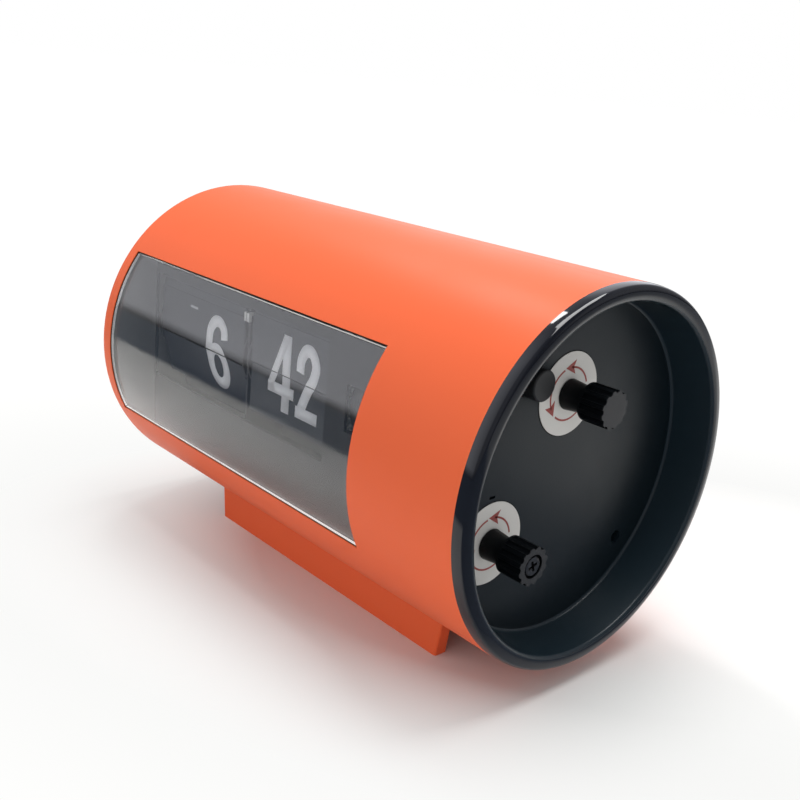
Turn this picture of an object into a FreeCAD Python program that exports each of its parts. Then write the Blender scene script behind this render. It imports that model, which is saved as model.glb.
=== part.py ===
"""Cylindrical flip-leaf alarm clock, battery driven, as a parametric document.

The case is a tube that lies on two foot rails.  Its axis is parallel to +X, the
window looks to -Y, and the knobs are in the recess at the +X end.  Every place
is measured from the tube's axis (x from the middle of the whole length), and
axis_height lifts the lot so that the rails stand on z = 0.
"""
import FreeCAD, Part
import math
import os
import re
import Sketcher
from FreeCAD import Rotation, Vector

doc = FreeCAD.newDocument("FlipClock")
sheet = doc.addObject("Spreadsheet::Sheet", "Sizes")

SIZES = {
    # case
    "housing_length": 165,
    "knob_reach": 5,
    "axis_height": 56,
    "tube_radius": 50,
    "tube_wall": 3,
    "end_wall": 3,
    "end_round": 3,
    "window_inset": 6.5,
    "window_end_inset": 36.3,
    "window_top_angle": 36.1,
    "window_bottom_angle": 27.2,
    "lens_thickness": 2.5,
    "lens_recess": 0.4,
    "seat_gap": 0.25,
    "slide_fit": 0.3,
    # foot rails
    "rail_length": 107.3,
    "rail_inset": 24.4,
    "rail_width": 4.3,
    "rail_face": 22.5,
    "rail_draft": 1.8,
    "rail_round": 0.7,
    # end bezel and control panel
    "rim_depth": 3.6,
    "rim_round": 2.6,
    "rim_land": 4.2,
    "lip_round": 1.2,
    "recess_wall": 5.2,
    "recess_depth": 12.8,
    "plug_length": 17,
    "ledge_width": 2.8,
    "panel_thickness": 2.5,
    "label_radius": 10.8,
    "label_thickness": 0.2,
    # controls
    "alarm_knob_angle": 45,
    "time_knob_back": -7.4,
    "time_knob_drop": 20,
    "knob_radius": 4.85,
    "knob_lobes": 12,
    "knob_flute_radius": 0.85,
    "knob_grip_length": 7.5,
    "neck_base_radius": 4,
    "neck_tip_radius": 3.3,
    "knob_recess_radius": 3.05,
    "knob_recess_depth": 1,
    "shaft_radius": 1.5,
    "running_fit": 0.06,
    "button_radius": 3.9,
    "button_proud": 5.4,
    "button_travel": 2,
    "button_aside": 1.3,
    "button_rise": 20.4,
    "button_flange": 1.5,
    "stem_radius": 1.5,
    "return_coil_radius": 2.3,
    "return_wire": 0.4,
    "switch_side": 7,
    "switch_length": 12,
    "panel_fit": 0.15,
    "fixing_angle": -43.9,
    "fixing_margin": 1,
    "boss_radius": 3.5,
    "boss_length": 3,
    "well_depth": 4.5,
    "screw_radius": 1.3,
    "screw_head_radius": 1.75,
    "screw_head_height": 1.1,
    "screw_length": 10,
    "well_radius": 1.9,
    "slit_width": 2,
    "slit_height": 0.7,
    # movement
    "leaf_sweep_gap": 2.2,
    "arbor_up": 5.5,
    "arbor_radius": 1.5,
    "pivot_radius": 11,
    "disc_radius": 12,
    "disc_thickness": 0.8,
    "hub_radius": 5,
    "leaf_height": 14.7,
    "leaf_thickness": 0.2,
    "leaf_offset": 0.15,
    "leaf_fit": 0.3,
    "leaf_pitch": 0.28,
    "hour_leaf_width": 47.8,
    "train_room": 33.5,
    "leaf_set_gap": 4.2,
    "hour_hinge_angle": -13.1,
    "hour_hang_lean": 14,
    "plate_thickness": 1.6,
    "middle_plate_thickness": 0.8,
    "mask_gap": 1,
    "hinge_gap": 0.2,
    "mask_thickness": 1,
    "mask_margin": 1.9,
    "leaf_view_top": 21.6,
    "leaf_view_bottom": -12.6,
    "leaf_view_margin": 1.4,
    "dial_view_half": 6.5,
    "plate_margin": 1.3,
    "rod_radius": 2,
    "spigot_radius": 1.3,
    "rivet_height": 1,
    "nut_height": 2.4,
    "rod_angle": 56.3,
    "rod_margin": 1.4,
    "press_gap": 0.02,
    "sleeve_radius": 3,
    "gear_width": 1.2,
    "gear_space": 0.8,
    "clutch_thickness": 0.5,
    "clutch_radius": 6,
    "stud_radius": 0.8,
    "catch_width": 1.3,
    "catch_height": 2.6,
    "catch_top": 19.8,
    "catch_arm": 9,
    "dial_length": 8.5,
    "dial_radius": 11.3,
    # electrics
    "cell_radius": 16.5,
    "cell_length": 59.5,
    "tray_gap": 3.9,
    "door_angle": -26.5,
    "tray_wall": 1.7,
    "door_half_angle": 21,
    "door_length": 70,
    "notch_depth": 1.2,
    "notch_width": 12,
    "notch_length": 5,
    "notch_inset": 6,
    "board_thickness": 1.6,
    "board_back": 16,
    "board_bottom": 12,
    "board_height": 26,
    "chip_length": 12,
    "chip_width": 5,
    "chip_height": 1.6,
    "chip_along": 18,
    "chip_up": 9,
    "capacitor_radius": 2,
    "capacitor_length": 8,
    "capacitor_along": 8,
    "capacitor_up": 14,
    "contact_thickness": 0.5,
    "spring_room": 5,
    "contact_coil_radius": 6,
    "contact_wire": 0.8,
    "nub_radius": 4.7,
    "nub_length": 1.5,
    "buzzer_radius": 11,
    "buzzer_length": 5,
    "buzzer_angle": 28.6,
    "buzzer_margin": 10.6,
    "motor_radius": 10,
    "motor_shaft": 1,
    "motor_length": 15,
    "motor_angle": -60,
    # teeth, as shares of the module
    "tooth_tip": 0.85,
    "tooth_root": 1.25,
    "tip_half_width": 0.3,
    "root_half_width": 1.05,
    # gear trains: teeth and modules; the distances between axes follow from them
    "setting_module": 0.5,
    "minute_teeth": 40,
    "idler_teeth": 20,
    "time_pinion_teeth": 10,
    "transfer_module": 0.42,
    "minute_pinion_teeth": 12,
    "transfer_teeth": 48,
    "hour_module": 0.4,
    "hour_pinion_teeth": 9,
    "hour_teeth": 54,
    "alarm_module": 0.75,
    "alarm_teeth": 28,
    "motor_module": 0.45,
    "motor_pinion_teeth": 12,
    "drive_teeth": 48,
}
DERIVED = {
    "lens_radius": "tube_radius - lens_recess",
    "hinge_y": "-(lens_radius - lens_thickness - leaf_sweep_gap - leaf_height)",
    "arbor_back": "hinge_y + hinge_gap + pivot_radius",
    "plate_front": "pivot_radius + mask_gap - arbor_back",
    "button_back": "arbor_back - button_aside",
    "button_up": "arbor_up + button_rise",
    "alarm_distance": "alarm_module * alarm_teeth",
    "transfer_distance": "hour_module * (hour_teeth + hour_pinion_teeth) / 2",
    "motor_distance": "motor_module * (drive_teeth + motor_pinion_teeth) / 2",
    "half_span": "(housing_length + knob_reach) / 2",
    "case_start": "-half_span",
    "case_edge": "case_start + housing_length",
    "rim_front": "case_edge + rim_depth",
    "panel_front": "rim_front - recess_depth",
    "panel_back": "panel_front - panel_thickness",
    "bore_radius": "tube_radius - tube_wall",
    "mouth_radius": "tube_radius - rim_land",
    "recess_radius": "tube_radius - recess_wall",
    "ledge_radius": "recess_radius - ledge_width",
    "fixing_circle": "ledge_radius - boss_radius - fixing_margin",
    "fixing_rear": "fixing_circle * cos(fixing_angle)",
    "fixing_rear_drop": "-fixing_circle * sin(fixing_angle)",
    "fixing_front": "fixing_circle",
    "window_start": "case_start + window_inset",
    "window_length": "housing_length - window_inset - window_end_inset",
    "plate_radius": "bore_radius - slide_fit",
    "rod_circle": "plate_radius - rod_radius - rod_margin",
    "rod_across": "rod_circle * cos(rod_angle)",
    "rod_top": "rod_circle * sin(rod_angle)",
    "left_plate_start": "case_start + end_wall + 1.4",
    "left_plate_end": "left_plate_start + plate_thickness",
    "hour_disc_start": "left_plate_end + 0.6",
    "right_plate_start": "window_start + window_length + plate_margin",
    "hour_leaf_start": "hour_disc_start + disc_thickness + leaf_fit",
    "hour_leaf_end": "hour_leaf_start + hour_leaf_width",
    "minute_leaf_start": "hour_leaf_end + leaf_set_gap",
    "minute_leaf_end": "right_plate_start - train_room",
    "minute_leaf_width": "minute_leaf_end - minute_leaf_start",
    "minute_disc_end": "minute_leaf_end + leaf_fit + disc_thickness",
    "middle_plate_start": "hour_leaf_end + (leaf_set_gap - middle_plate_thickness) / 2",
    "right_plate_end": "right_plate_start + plate_thickness",
    "knob_tip": "case_edge + knob_reach",
    "alarm_knob_y": "arbor_back + alarm_distance * cos(alarm_knob_angle)",
    "alarm_knob_z": "arbor_up + alarm_distance * sin(alarm_knob_angle)",
    "time_knob_y": "arbor_back + time_knob_back",
    "time_knob_z": "arbor_up - time_knob_drop",
    "knob_start": "panel_front + label_thickness + slide_fit",
    "grip_start": "knob_tip - knob_grip_length",
    "shaft_end": "grip_start + 2.5",
    "drive_start": "minute_disc_end + 0.6",
    "clutch_start": "drive_start + gear_width + running_fit",
    "minute_gear_start": "clutch_start + clutch_thickness + running_fit",
    "transfer_start": "minute_gear_start + gear_width + gear_space",
    "hour_gear_start": "transfer_start + gear_width + gear_space",
    "dial_start": "hour_gear_start + gear_width + gear_space",
    "dial_gear_start": "dial_start + dial_length + gear_space",
    "idler_reach": "setting_module * (minute_teeth + idler_teeth) / 2",
    "pinion_reach": "setting_module * (idler_teeth + time_pinion_teeth) / 2",
    "knob_distance": "sqrt(time_knob_back ^ 2 + time_knob_drop ^ 2)",
    "idler_along": "(idler_reach ^ 2 - pinion_reach ^ 2 + knob_distance ^ 2) / (2 * knob_distance)",
    "idler_aside": "sqrt(idler_reach ^ 2 - idler_along ^ 2)",
    "idler_y": "arbor_back + (idler_along * time_knob_back + idler_aside * time_knob_drop) / knob_distance",
    "idler_z": "arbor_up - (idler_along * time_knob_drop - idler_aside * time_knob_back) / knob_distance",
    "transfer_y": "arbor_back + transfer_distance",
    "motor_y": "arbor_back + motor_distance * cos(motor_angle)",
    "motor_z": "arbor_up + motor_distance * sin(motor_angle)",
    "hour_hinge_z": "arbor_up + pivot_radius * sin(hour_hinge_angle)",
    "tray_bore": "cell_radius + slide_fit",
    "tray_radius": "tray_bore + tray_wall",
    "cell_reach": "bore_radius - tray_radius - tray_gap",
    "cell_back": "cell_reach * cos(door_angle)",
    "cell_drop": "-cell_reach * sin(door_angle)",
    "buzzer_back": "(plate_radius - buzzer_radius - buzzer_margin) * cos(buzzer_angle)",
    "buzzer_up": "(plate_radius - buzzer_radius - buzzer_margin) * sin(buzzer_angle)",
    "tray_start": "left_plate_end",
    "bay_start": "tray_start + 5",
    "cell_start": "bay_start + contact_thickness + spring_room",
    "bay_end": "cell_start + cell_length + nub_length + contact_thickness",
    "door_start": "bay_start + (bay_end - bay_start - door_length) / 2",
    "mask_reach": "sqrt(bore_radius ^ 2 - (plate_front + mask_thickness) ^ 2) - mask_margin",
    "journal": "arbor_radius + running_fit",
    "to_idler": "atan2(idler_z - arbor_up; idler_y - arbor_back) / 1 deg",
    "to_time_pinion": "atan2(time_knob_z - idler_z; time_knob_y - idler_y) / 1 deg",
}


def fill_sheet():
    """Write every value, then every worked-out value, each with its own word."""
    rows = [(alias, str(value)) for alias, value in SIZES.items()]
    rows += [(alias, "=" + text) for alias, text in DERIVED.items()]
    for row, (alias, text) in enumerate(rows, start=1):
        sheet.set("A%d" % row, alias)
        sheet.set("B%d" % row, text)
        sheet.setAlias("B%d" % row, alias)
    doc.recompute()
    words = sorted([alias for alias, text in rows], key=len, reverse=True)
    return re.compile(r"\b(" + "|".join(words) + r")\b")


PATTERN = fill_sheet()


def size(alias):
    """The present value of one of the sheet's cells."""
    return float(sheet.get(alias))


def bind(thing, prop, text):
    """Tie a property to the sheet; text is written in the sheet's own words."""
    thing.setExpression(prop, PATTERN.sub(r"Sizes.\1", str(text)))


def place(thing, x="0", y="0", z="0"):
    """Put a thing at x, y, z from the middle of the tube's axis."""
    bind(thing, "Placement.Base.x", x)
    bind(thing, "Placement.Base.y", y)
    bind(thing, "Placement.Base.z", "axis_height + (%s)" % z)
    return thing


ALONG_X = Rotation(Vector(0, 1, 0), 90)
nodes = []


def node(name, thing):
    """Give a finished sub-part its name and list it for export."""
    thing.Label = name
    nodes.append(thing)
    return thing


def rod(x, length, radius, y="0", z="0"):
    """A round bar along X."""
    thing = doc.addObject("Part::Cylinder", "Rod")
    bind(thing, "Radius", radius)
    bind(thing, "Height", length)
    thing.Placement.Rotation = ALONG_X
    return place(thing, x, y, z)


def block(x, y, z, length, width, height):
    """A box from its lowest corner."""
    thing = doc.addObject("Part::Box", "Block")
    bind(thing, "Length", length)
    bind(thing, "Width", width)
    bind(thing, "Height", height)
    return place(thing, x, y, z)


def fuse(*parts):
    thing = doc.addObject("Part::MultiFuse", "Fusion")
    thing.Shapes = list(parts)
    return thing


def group(*parts):
    """Separate solids that share one node."""
    thing = doc.addObject("Part::Compound", "Group")
    thing.Links = list(parts)
    return thing


def cut(base, *tools):
    thing = doc.addObject("Part::Cut", "Cut")
    thing.Base = base
    thing.Tool = tools[0] if len(tools) == 1 else fuse(*tools)
    return thing


def common(*parts):
    thing = doc.addObject("Part::MultiCommon", "Common")
    thing.Shapes = list(parts)
    return thing


def tube(x, length, outer, inner, y="0", z="0"):
    """A ring or pipe along X."""
    bore = rod("(%s) - 1" % x, "(%s) + 2" % length, inner, y, z)
    return cut(rod(x, length, outer, y, z), bore)


def sector(x, length, radius, low, high):
    """A pie slice about the tube's axis; angles in degrees from +Y towards +Z."""
    thing = doc.addObject("Part::Cylinder", "Sector")
    bind(thing, "Radius", radius)
    bind(thing, "Height", length)
    bind(thing, "Angle", "(%s) - (%s)" % (high, low))
    corner = "create(<<vector>>; %s; 0; axis_height)" % x
    turn = "create(<<rotation>>; create(<<vector>>; 1; 0; 0); %s)" % low
    upright = "create(<<rotation>>; create(<<vector>>; 1; 1; 1); 120)"
    nowhere = "create(<<vector>>; 0; 0; 0)"
    bind(thing, "Placement", "create(<<placement>>; %s; %s) * create(<<placement>>; %s; %s)"
         % (corner, turn, nowhere, upright))
    return thing


def body(name):
    """A PartDesign body whose origin is on the tube's axis."""
    thing = doc.addObject("PartDesign::Body", "Body")
    place(thing)
    return node(name, thing)


def origin_plane(of, role):
    return next(item for item in of.Origin.OriginFeatures if item.Role == role)


def sketch_on(of, role, offset="0"):
    """A sketch on one of a body's own origin planes, moved along its normal."""
    sketch = of.newObject("Sketcher::SketchObject", "Sketch")
    sketch.AttachmentSupport = [(origin_plane(of, role), "")]
    sketch.MapMode = "FlatFace"
    bind(sketch, "AttachmentOffset.Base.z", offset)
    return sketch


def fix_point(sketch, edge, end, across, up):
    """Tie one point of a sketch to the sheet, from the sketch's origin."""
    for kind, text in (("DistanceX", across), ("DistanceY", up)):
        point = sketch.Geometry[edge].StartPoint if end == 1 else sketch.Geometry[edge].Center
        value = point.x if kind == "DistanceX" else point.y
        index = sketch.addConstraint(Sketcher.Constraint(kind, -1, 1, edge, end, value))
        bind(sketch, "Constraints[%d]" % index, text)


def worked_out(text):
    """The number that an expression in the sheet's words gives now."""
    probe = doc.getObject("Probe") or doc.addObject("App::FeaturePython", "Probe")
    if "Value" not in probe.PropertiesList:
        probe.addProperty("App::PropertyFloat", "Value")
    bind(probe, "Value", text)
    probe.recompute()
    return probe.Value


def outline(sketch, corners):
    """A closed outline of straight lines through corners given as expressions."""
    points = [Vector(worked_out(a), worked_out(b), 0) for a, b in corners]
    for index, point in enumerate(points):
        sketch.addGeometry(Part.LineSegment(point, points[(index + 1) % len(points)]))
    for index in range(len(points)):
        following = (index + 1) % len(points)
        sketch.addConstraint(Sketcher.Constraint("Coincident", index, 2, following, 1))
    for index, (across, up) in enumerate(corners):
        fix_point(sketch, index, 1, across, up)


def circle(sketch, radius, across="0", up="0"):
    """A circle whose radius and centre are tied to the sheet."""
    centre = Vector(worked_out(across), worked_out(up), 0)
    edge = sketch.addGeometry(Part.Circle(centre, Vector(0, 0, 1), worked_out(radius)))
    index = sketch.addConstraint(Sketcher.Constraint("Radius", edge, worked_out(radius)))
    bind(sketch, "Constraints[%d]" % index, radius)
    fix_point(sketch, edge, 3, across, up)


def revolve(of, sketch):
    """Turn a profile about the sketch's horizontal axis."""
    feature = of.newObject("PartDesign::Revolution", "Revolution")
    feature.Profile = sketch
    feature.ReferenceAxis = (sketch, ["H_Axis"])
    feature.Angle = 360
    sketch.Visibility = False
    return feature


def extrude(of, kind, sketch, length, reversed_way=False):
    """A Pad or a Pocket of a sketch, along or against its normal."""
    feature = of.newObject("PartDesign::" + kind, kind)
    feature.Profile = sketch
    bind(feature, "Length", length)
    feature.Reversed = reversed_way
    return feature


def edges_at(shape, test):
    """Names of the edges whose middle passes a test."""
    names = []
    for index, edge in enumerate(shape.Edges, start=1):
        middle = edge.valueAt((edge.FirstParameter + edge.LastParameter) / 2)
        if test(edge, middle):
            names.append("Edge%d" % index)
    return names


def round_edges(of, base, radius, test):
    """Fillet the edges of the last feature that pass a test."""
    doc.recompute()
    feature = of.newObject("PartDesign::Fillet", "Fillet")
    feature.Base = (base, edges_at(base.Shape, test))
    bind(feature, "Radius", radius)
    return feature


def radius_is(edge, alias):
    curve = edge.Curve
    return isinstance(curve, Part.Circle) and abs(curve.Radius - worked_out(alias)) < 1e-4


def on_wheel(radius, angle):
    """Corner of a slice across the tube: angle from -Y towards +Z."""
    return ("-(%s) * cos(%s)" % (radius, angle), "(%s) * sin(%s)" % (radius, angle))


# ---------------------------------------------------------------- case
def make_housing():
    """Turned tube with a closed left end, a window in front and a door hole behind."""
    case = body("housing")
    profile = sketch_on(case, "XZ_Plane")
    outline(profile, [("case_start", "0"), ("case_start", "tube_radius"),
                      ("case_edge", "tube_radius"), ("case_edge", "bore_radius"),
                      ("case_start + end_wall", "bore_radius"),
                      ("case_start + end_wall", "0")])
    shell = revolve(case, profile)
    round_edges(case, shell, "end_round",
                lambda edge, middle: radius_is(edge, "tube_radius")
                and abs(middle.x - worked_out("case_start")) < 1e-3)
    window = sketch_on(case, "YZ_Plane", "window_start")
    outline(window, [on_wheel("tube_radius * 0.8", "window_top_angle"),
                     on_wheel("tube_radius * 1.3", "window_top_angle"),
                     on_wheel("tube_radius * 1.3", "-window_bottom_angle"),
                     on_wheel("tube_radius * 0.8", "-window_bottom_angle")])
    extrude(case, "Pocket", window, "window_length", True)
    hatch = sketch_on(case, "YZ_Plane", "door_start")
    low = "180 - door_angle + door_half_angle"
    high = "180 - door_angle - door_half_angle"
    outline(hatch, [on_wheel("tube_radius * 0.8", low), on_wheel("tube_radius * 1.3", low),
                    on_wheel("tube_radius * 1.3", high), on_wheel("tube_radius * 0.8", high)])
    extrude(case, "Pocket", hatch, "door_length", True)


def make_lens():
    """Curved clear window, a little below the tube's surface."""
    gap = "seat_gap / tube_radius * 180 / pi"
    shell = tube("window_start + seat_gap", "window_length - 2 * seat_gap",
                 "lens_radius", "lens_radius - lens_thickness")
    slice_ = sector("window_start", "window_length", "tube_radius * 1.2",
                    "180 - window_top_angle + " + gap, "180 + window_bottom_angle - " + gap)
    node("window_lens", common(shell, slice_))


def make_rail(name, side):
    """One foot rail with drafted ends, hollowed on top to sit on the tube."""
    rail = doc.addObject("PartDesign::Body", "Rail")
    place(rail)
    front = sketch_on(rail, "XZ_Plane", "-(%s) * rail_face" % side)
    first = "case_edge - rail_inset - rail_length"
    last = "case_edge - rail_inset"
    outline(front, [(first + " + rail_draft", "-axis_height"),
                    (last + " - rail_draft", "-axis_height"),
                    (last, "-tube_radius * 0.8"), (first, "-tube_radius * 0.8")])
    bar = extrude(rail, "Pad", front, "rail_width", side == "-1")
    round_edges(rail, bar, "rail_round",
                lambda edge, middle: abs(middle.z + worked_out("axis_height")) > 1
                and abs(middle.z + worked_out("tube_radius * 0.8")) > 1)
    node(name, cut(rail, rod("case_start", "housing_length", "tube_radius")))


def make_bezel():
    """Black end ring: a proud rounded rim, a tapered recess and a plug in the tube."""
    ring = body("end_bezel")
    profile = sketch_on(ring, "XZ_Plane")
    outline(profile, [("case_edge", "tube_radius"), ("rim_front", "tube_radius"),
                      ("rim_front", "mouth_radius"),
                      ("panel_front", "recess_radius"), ("panel_back", "recess_radius"),
                      ("panel_back", "ledge_radius"),
                      ("case_edge - plug_length", "ledge_radius"),
                      ("case_edge - plug_length", "plate_radius"),
                      ("case_edge", "plate_radius")])
    turned = revolve(ring, profile)
    nose = round_edges(ring, turned, "min(rim_round; rim_land * 0.65)",
                       lambda edge, middle: radius_is(edge, "tube_radius")
                       and abs(middle.x - worked_out("rim_front")) < 1e-3)
    round_edges(ring, nose, "min(lip_round; rim_land * 0.3)",
                lambda edge, middle: radius_is(edge, "mouth_radius")
                and abs(middle.x - worked_out("rim_front")) < 1e-3)


def make_panel():
    """Recess floor with shaft holes, a button hole, screw wells and a small slit."""
    panel = body("control_panel")
    disc = sketch_on(panel, "YZ_Plane", "panel_back")
    circle(disc, "recess_radius - panel_fit")
    extrude(panel, "Pad", disc, "panel_thickness")
    bosses = sketch_on(panel, "YZ_Plane", "panel_back - boss_length")
    circle(bosses, "boss_radius", "fixing_rear", "-fixing_rear_drop")
    circle(bosses, "boss_radius", "-fixing_front", "0")
    extrude(panel, "Pad", bosses, "boss_length + panel_thickness / 2")
    holes = sketch_on(panel, "YZ_Plane", "panel_back - boss_length")
    circle(holes, "shaft_radius + slide_fit", "alarm_knob_y", "alarm_knob_z")
    circle(holes, "shaft_radius + slide_fit", "time_knob_y", "time_knob_z")
    circle(holes, "button_radius + slide_fit", "button_back", "button_up")
    circle(holes, "screw_radius + panel_fit", "fixing_rear", "-fixing_rear_drop")
    circle(holes, "screw_radius + panel_fit", "-fixing_front", "0")
    extrude(panel, "Pocket", holes, "boss_length + panel_thickness + 1", True)
    wells = sketch_on(panel, "YZ_Plane", "panel_front - well_depth")
    circle(wells, "well_radius", "fixing_rear", "-fixing_rear_drop")
    circle(wells, "well_radius", "-fixing_front", "0")
    extrude(panel, "Pocket", wells, "well_depth + 1", True)
    slit = sketch_on(panel, "YZ_Plane", "panel_back")
    low = "time_knob_z + label_radius + 1"
    outline(slit, [("time_knob_y - slit_width", low), ("time_knob_y", low),
                   ("time_knob_y", low + " + slit_height"),
                   ("time_knob_y - slit_width", low + " + slit_height")])
    extrude(panel, "Pocket", slit, "panel_thickness + 1", True)


def make_panel_screws():
    """Two screws at the bottom of the panel's wells, into the posts."""
    screws = []
    seat = "panel_front - well_depth"
    for y, z in (("fixing_rear", "-fixing_rear_drop"), ("-fixing_front", "0")):
        shank = rod(seat + " - screw_length", "screw_length + 0.1", "screw_radius", y, z)
        head = rod(seat, "screw_head_height", "screw_head_radius", y, z)
        screws.append(fuse(shank, head))
    node("panel_screws", group(*screws))


def make_labels():
    for name, y, z in (("alarm_label", "alarm_knob_y", "alarm_knob_z"),
                       ("time_label", "time_knob_y", "time_knob_z")):
        node(name, tube("panel_front", "label_thickness", "label_radius",
                        "neck_base_radius - 1", y, z))


# ---------------------------------------------------------------- controls
def make_knob(name, y, z, with_screw):
    """Fluted knob on a tapered neck, bored for its shaft."""
    knob = doc.addObject("PartDesign::Body", "Knob")
    place(knob, "0", y, z)
    node(name, knob)
    profile = sketch_on(knob, "XZ_Plane")
    corners = [("knob_start", "shaft_radius + press_gap"), ("knob_start", "neck_base_radius"),
               ("grip_start", "neck_tip_radius"), ("grip_start", "knob_radius"),
               ("knob_tip", "knob_radius")]
    if with_screw:
        corners += [("knob_tip", "knob_recess_radius"),
                    ("knob_tip - knob_recess_depth", "knob_recess_radius"),
                    ("knob_tip - knob_recess_depth", "screw_radius - 0.2"),
                    ("shaft_end", "screw_radius - 0.2")]
    else:
        corners += [("knob_tip", "0"), ("shaft_end", "0")]
    corners.append(("shaft_end", "shaft_radius + press_gap"))
    outline(profile, corners)
    revolve(knob, profile)
    flute = sketch_on(knob, "YZ_Plane", "grip_start + 0.6")
    circle(flute, "knob_flute_radius", "knob_radius + knob_flute_radius * 0.4")
    groove = extrude(knob, "Pocket", flute, "knob_grip_length", True)
    ring = knob.newObject("PartDesign::PolarPattern", "Flutes")
    ring.Originals = [groove]
    ring.Axis = (flute, ["N_Axis"])
    ring.Angle = 360
    bind(ring, "Occurrences", "knob_lobes")
    knob.Tip = ring


def make_controls():
    make_knob("alarm_knob", "alarm_knob_y", "alarm_knob_z", False)
    make_knob("time_knob", "time_knob_y", "time_knob_z", True)
    head_seat = "knob_tip - knob_recess_depth"
    shank = rod("shaft_end - 2", head_seat + " - shaft_end + 2.1", "screw_radius - 0.3",
                "time_knob_y", "time_knob_z")
    head = rod(head_seat, "knob_recess_depth * 0.8", "knob_recess_radius - 0.7",
               "time_knob_y", "time_knob_z")
    node("time_knob_screw", fuse(shank, head))
    first = "dial_gear_start - 0.5"
    node("alarm_shaft", rod(first, "shaft_end - (%s)" % first, "shaft_radius",
                            "alarm_knob_y", "alarm_knob_z"))
    first = "minute_gear_start - 0.5"
    shaft = rod(first, "shaft_end - (%s)" % first, "shaft_radius",
                "time_knob_y", "time_knob_z")
    drilling = rod("shaft_end - 2.5", "3", "screw_radius - 0.25", "time_knob_y", "time_knob_z")
    node("time_shaft", cut(shaft, drilling))
    flange = "panel_back - running_fit - button_flange"
    cap = rod(flange, "button_flange + panel_thickness + button_proud + running_fit",
              "button_radius", "button_back", "button_up")
    plate = rod(flange, "button_flange", "button_radius + 1.1", "button_back", "button_up")
    inner = "right_plate_end + switch_length - 3"
    stem = rod(inner, flange + " - (%s)" % inner, "stem_radius", "button_back", "button_up")
    rounded = doc.addObject("Part::Fillet", "RoundedButton")
    doc.recompute()
    rounded.Base = cap
    top = edges_at(cap.Shape, lambda edge, middle: radius_is(edge, "button_radius")
                   and middle.x > worked_out("panel_front"))
    rounded.Edges = [(int(name[4:]), 0.5, 0.5) for name in top]
    node("alarm_button", fuse(rounded, plate, stem))
    case = block("right_plate_end", "button_back - switch_side / 2",
                 "button_up - switch_side / 2", "switch_length", "switch_side", "switch_side")
    bore = rod("right_plate_end + switch_length - 4 - button_travel", "switch_length",
               "stem_radius + panel_fit", "button_back", "button_up")
    node("alarm_switch", cut(case, bore))


# ---------------------------------------------------------------- movement
def gear(name, x, module, teeth, y, z, phase, bore):
    """Straight-toothed wheel; phase turns one tooth from +Y towards +Z."""
    wheel = doc.addObject("PartDesign::Body", "Gear")
    place(wheel, x, y, z)
    bind(wheel, "Placement.Rotation.Angle", phase)
    wheel.Placement.Rotation = Rotation(Vector(1, 0, 0), worked_out(phase))
    bind(wheel, "Placement.Rotation.Angle", phase)
    rim = sketch_on(wheel, "YZ_Plane")
    pitch = "%s * %s / 2" % (module, teeth)
    circle(rim, "%s - tooth_root * %s" % (pitch, module))
    circle(rim, bore)
    extrude(wheel, "Pad", rim, "gear_width")
    flank = sketch_on(wheel, "YZ_Plane")
    foot = "%s - (tooth_root + 0.15) * %s" % (pitch, module)
    crest = "%s + tooth_tip * %s" % (pitch, module)
    outline(flank, [(foot, "-root_half_width * " + module), (crest, "-tip_half_width * " + module),
                    (crest, "tip_half_width * " + module), (foot, "root_half_width * " + module)])
    tooth = extrude(wheel, "Pad", flank, "gear_width")
    ring = wheel.newObject("PartDesign::PolarPattern", "Teeth")
    ring.Originals = [tooth]
    ring.Axis = (flank, ["N_Axis"])
    ring.Angle = 360
    bind(ring, "Occurrences", teeth)
    wheel.Tip = ring
    return node(name, wheel) if name else wheel


def mate(direction, first_phase, first_teeth, teeth):
    """Phase that puts a wheel's tooth into the gap of the wheel it meets."""
    return "(%s) + 180 + 180 / %s + ((%s) - (%s)) * %s / %s" % (
        direction, teeth, direction, first_phase, first_teeth, teeth)


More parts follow.
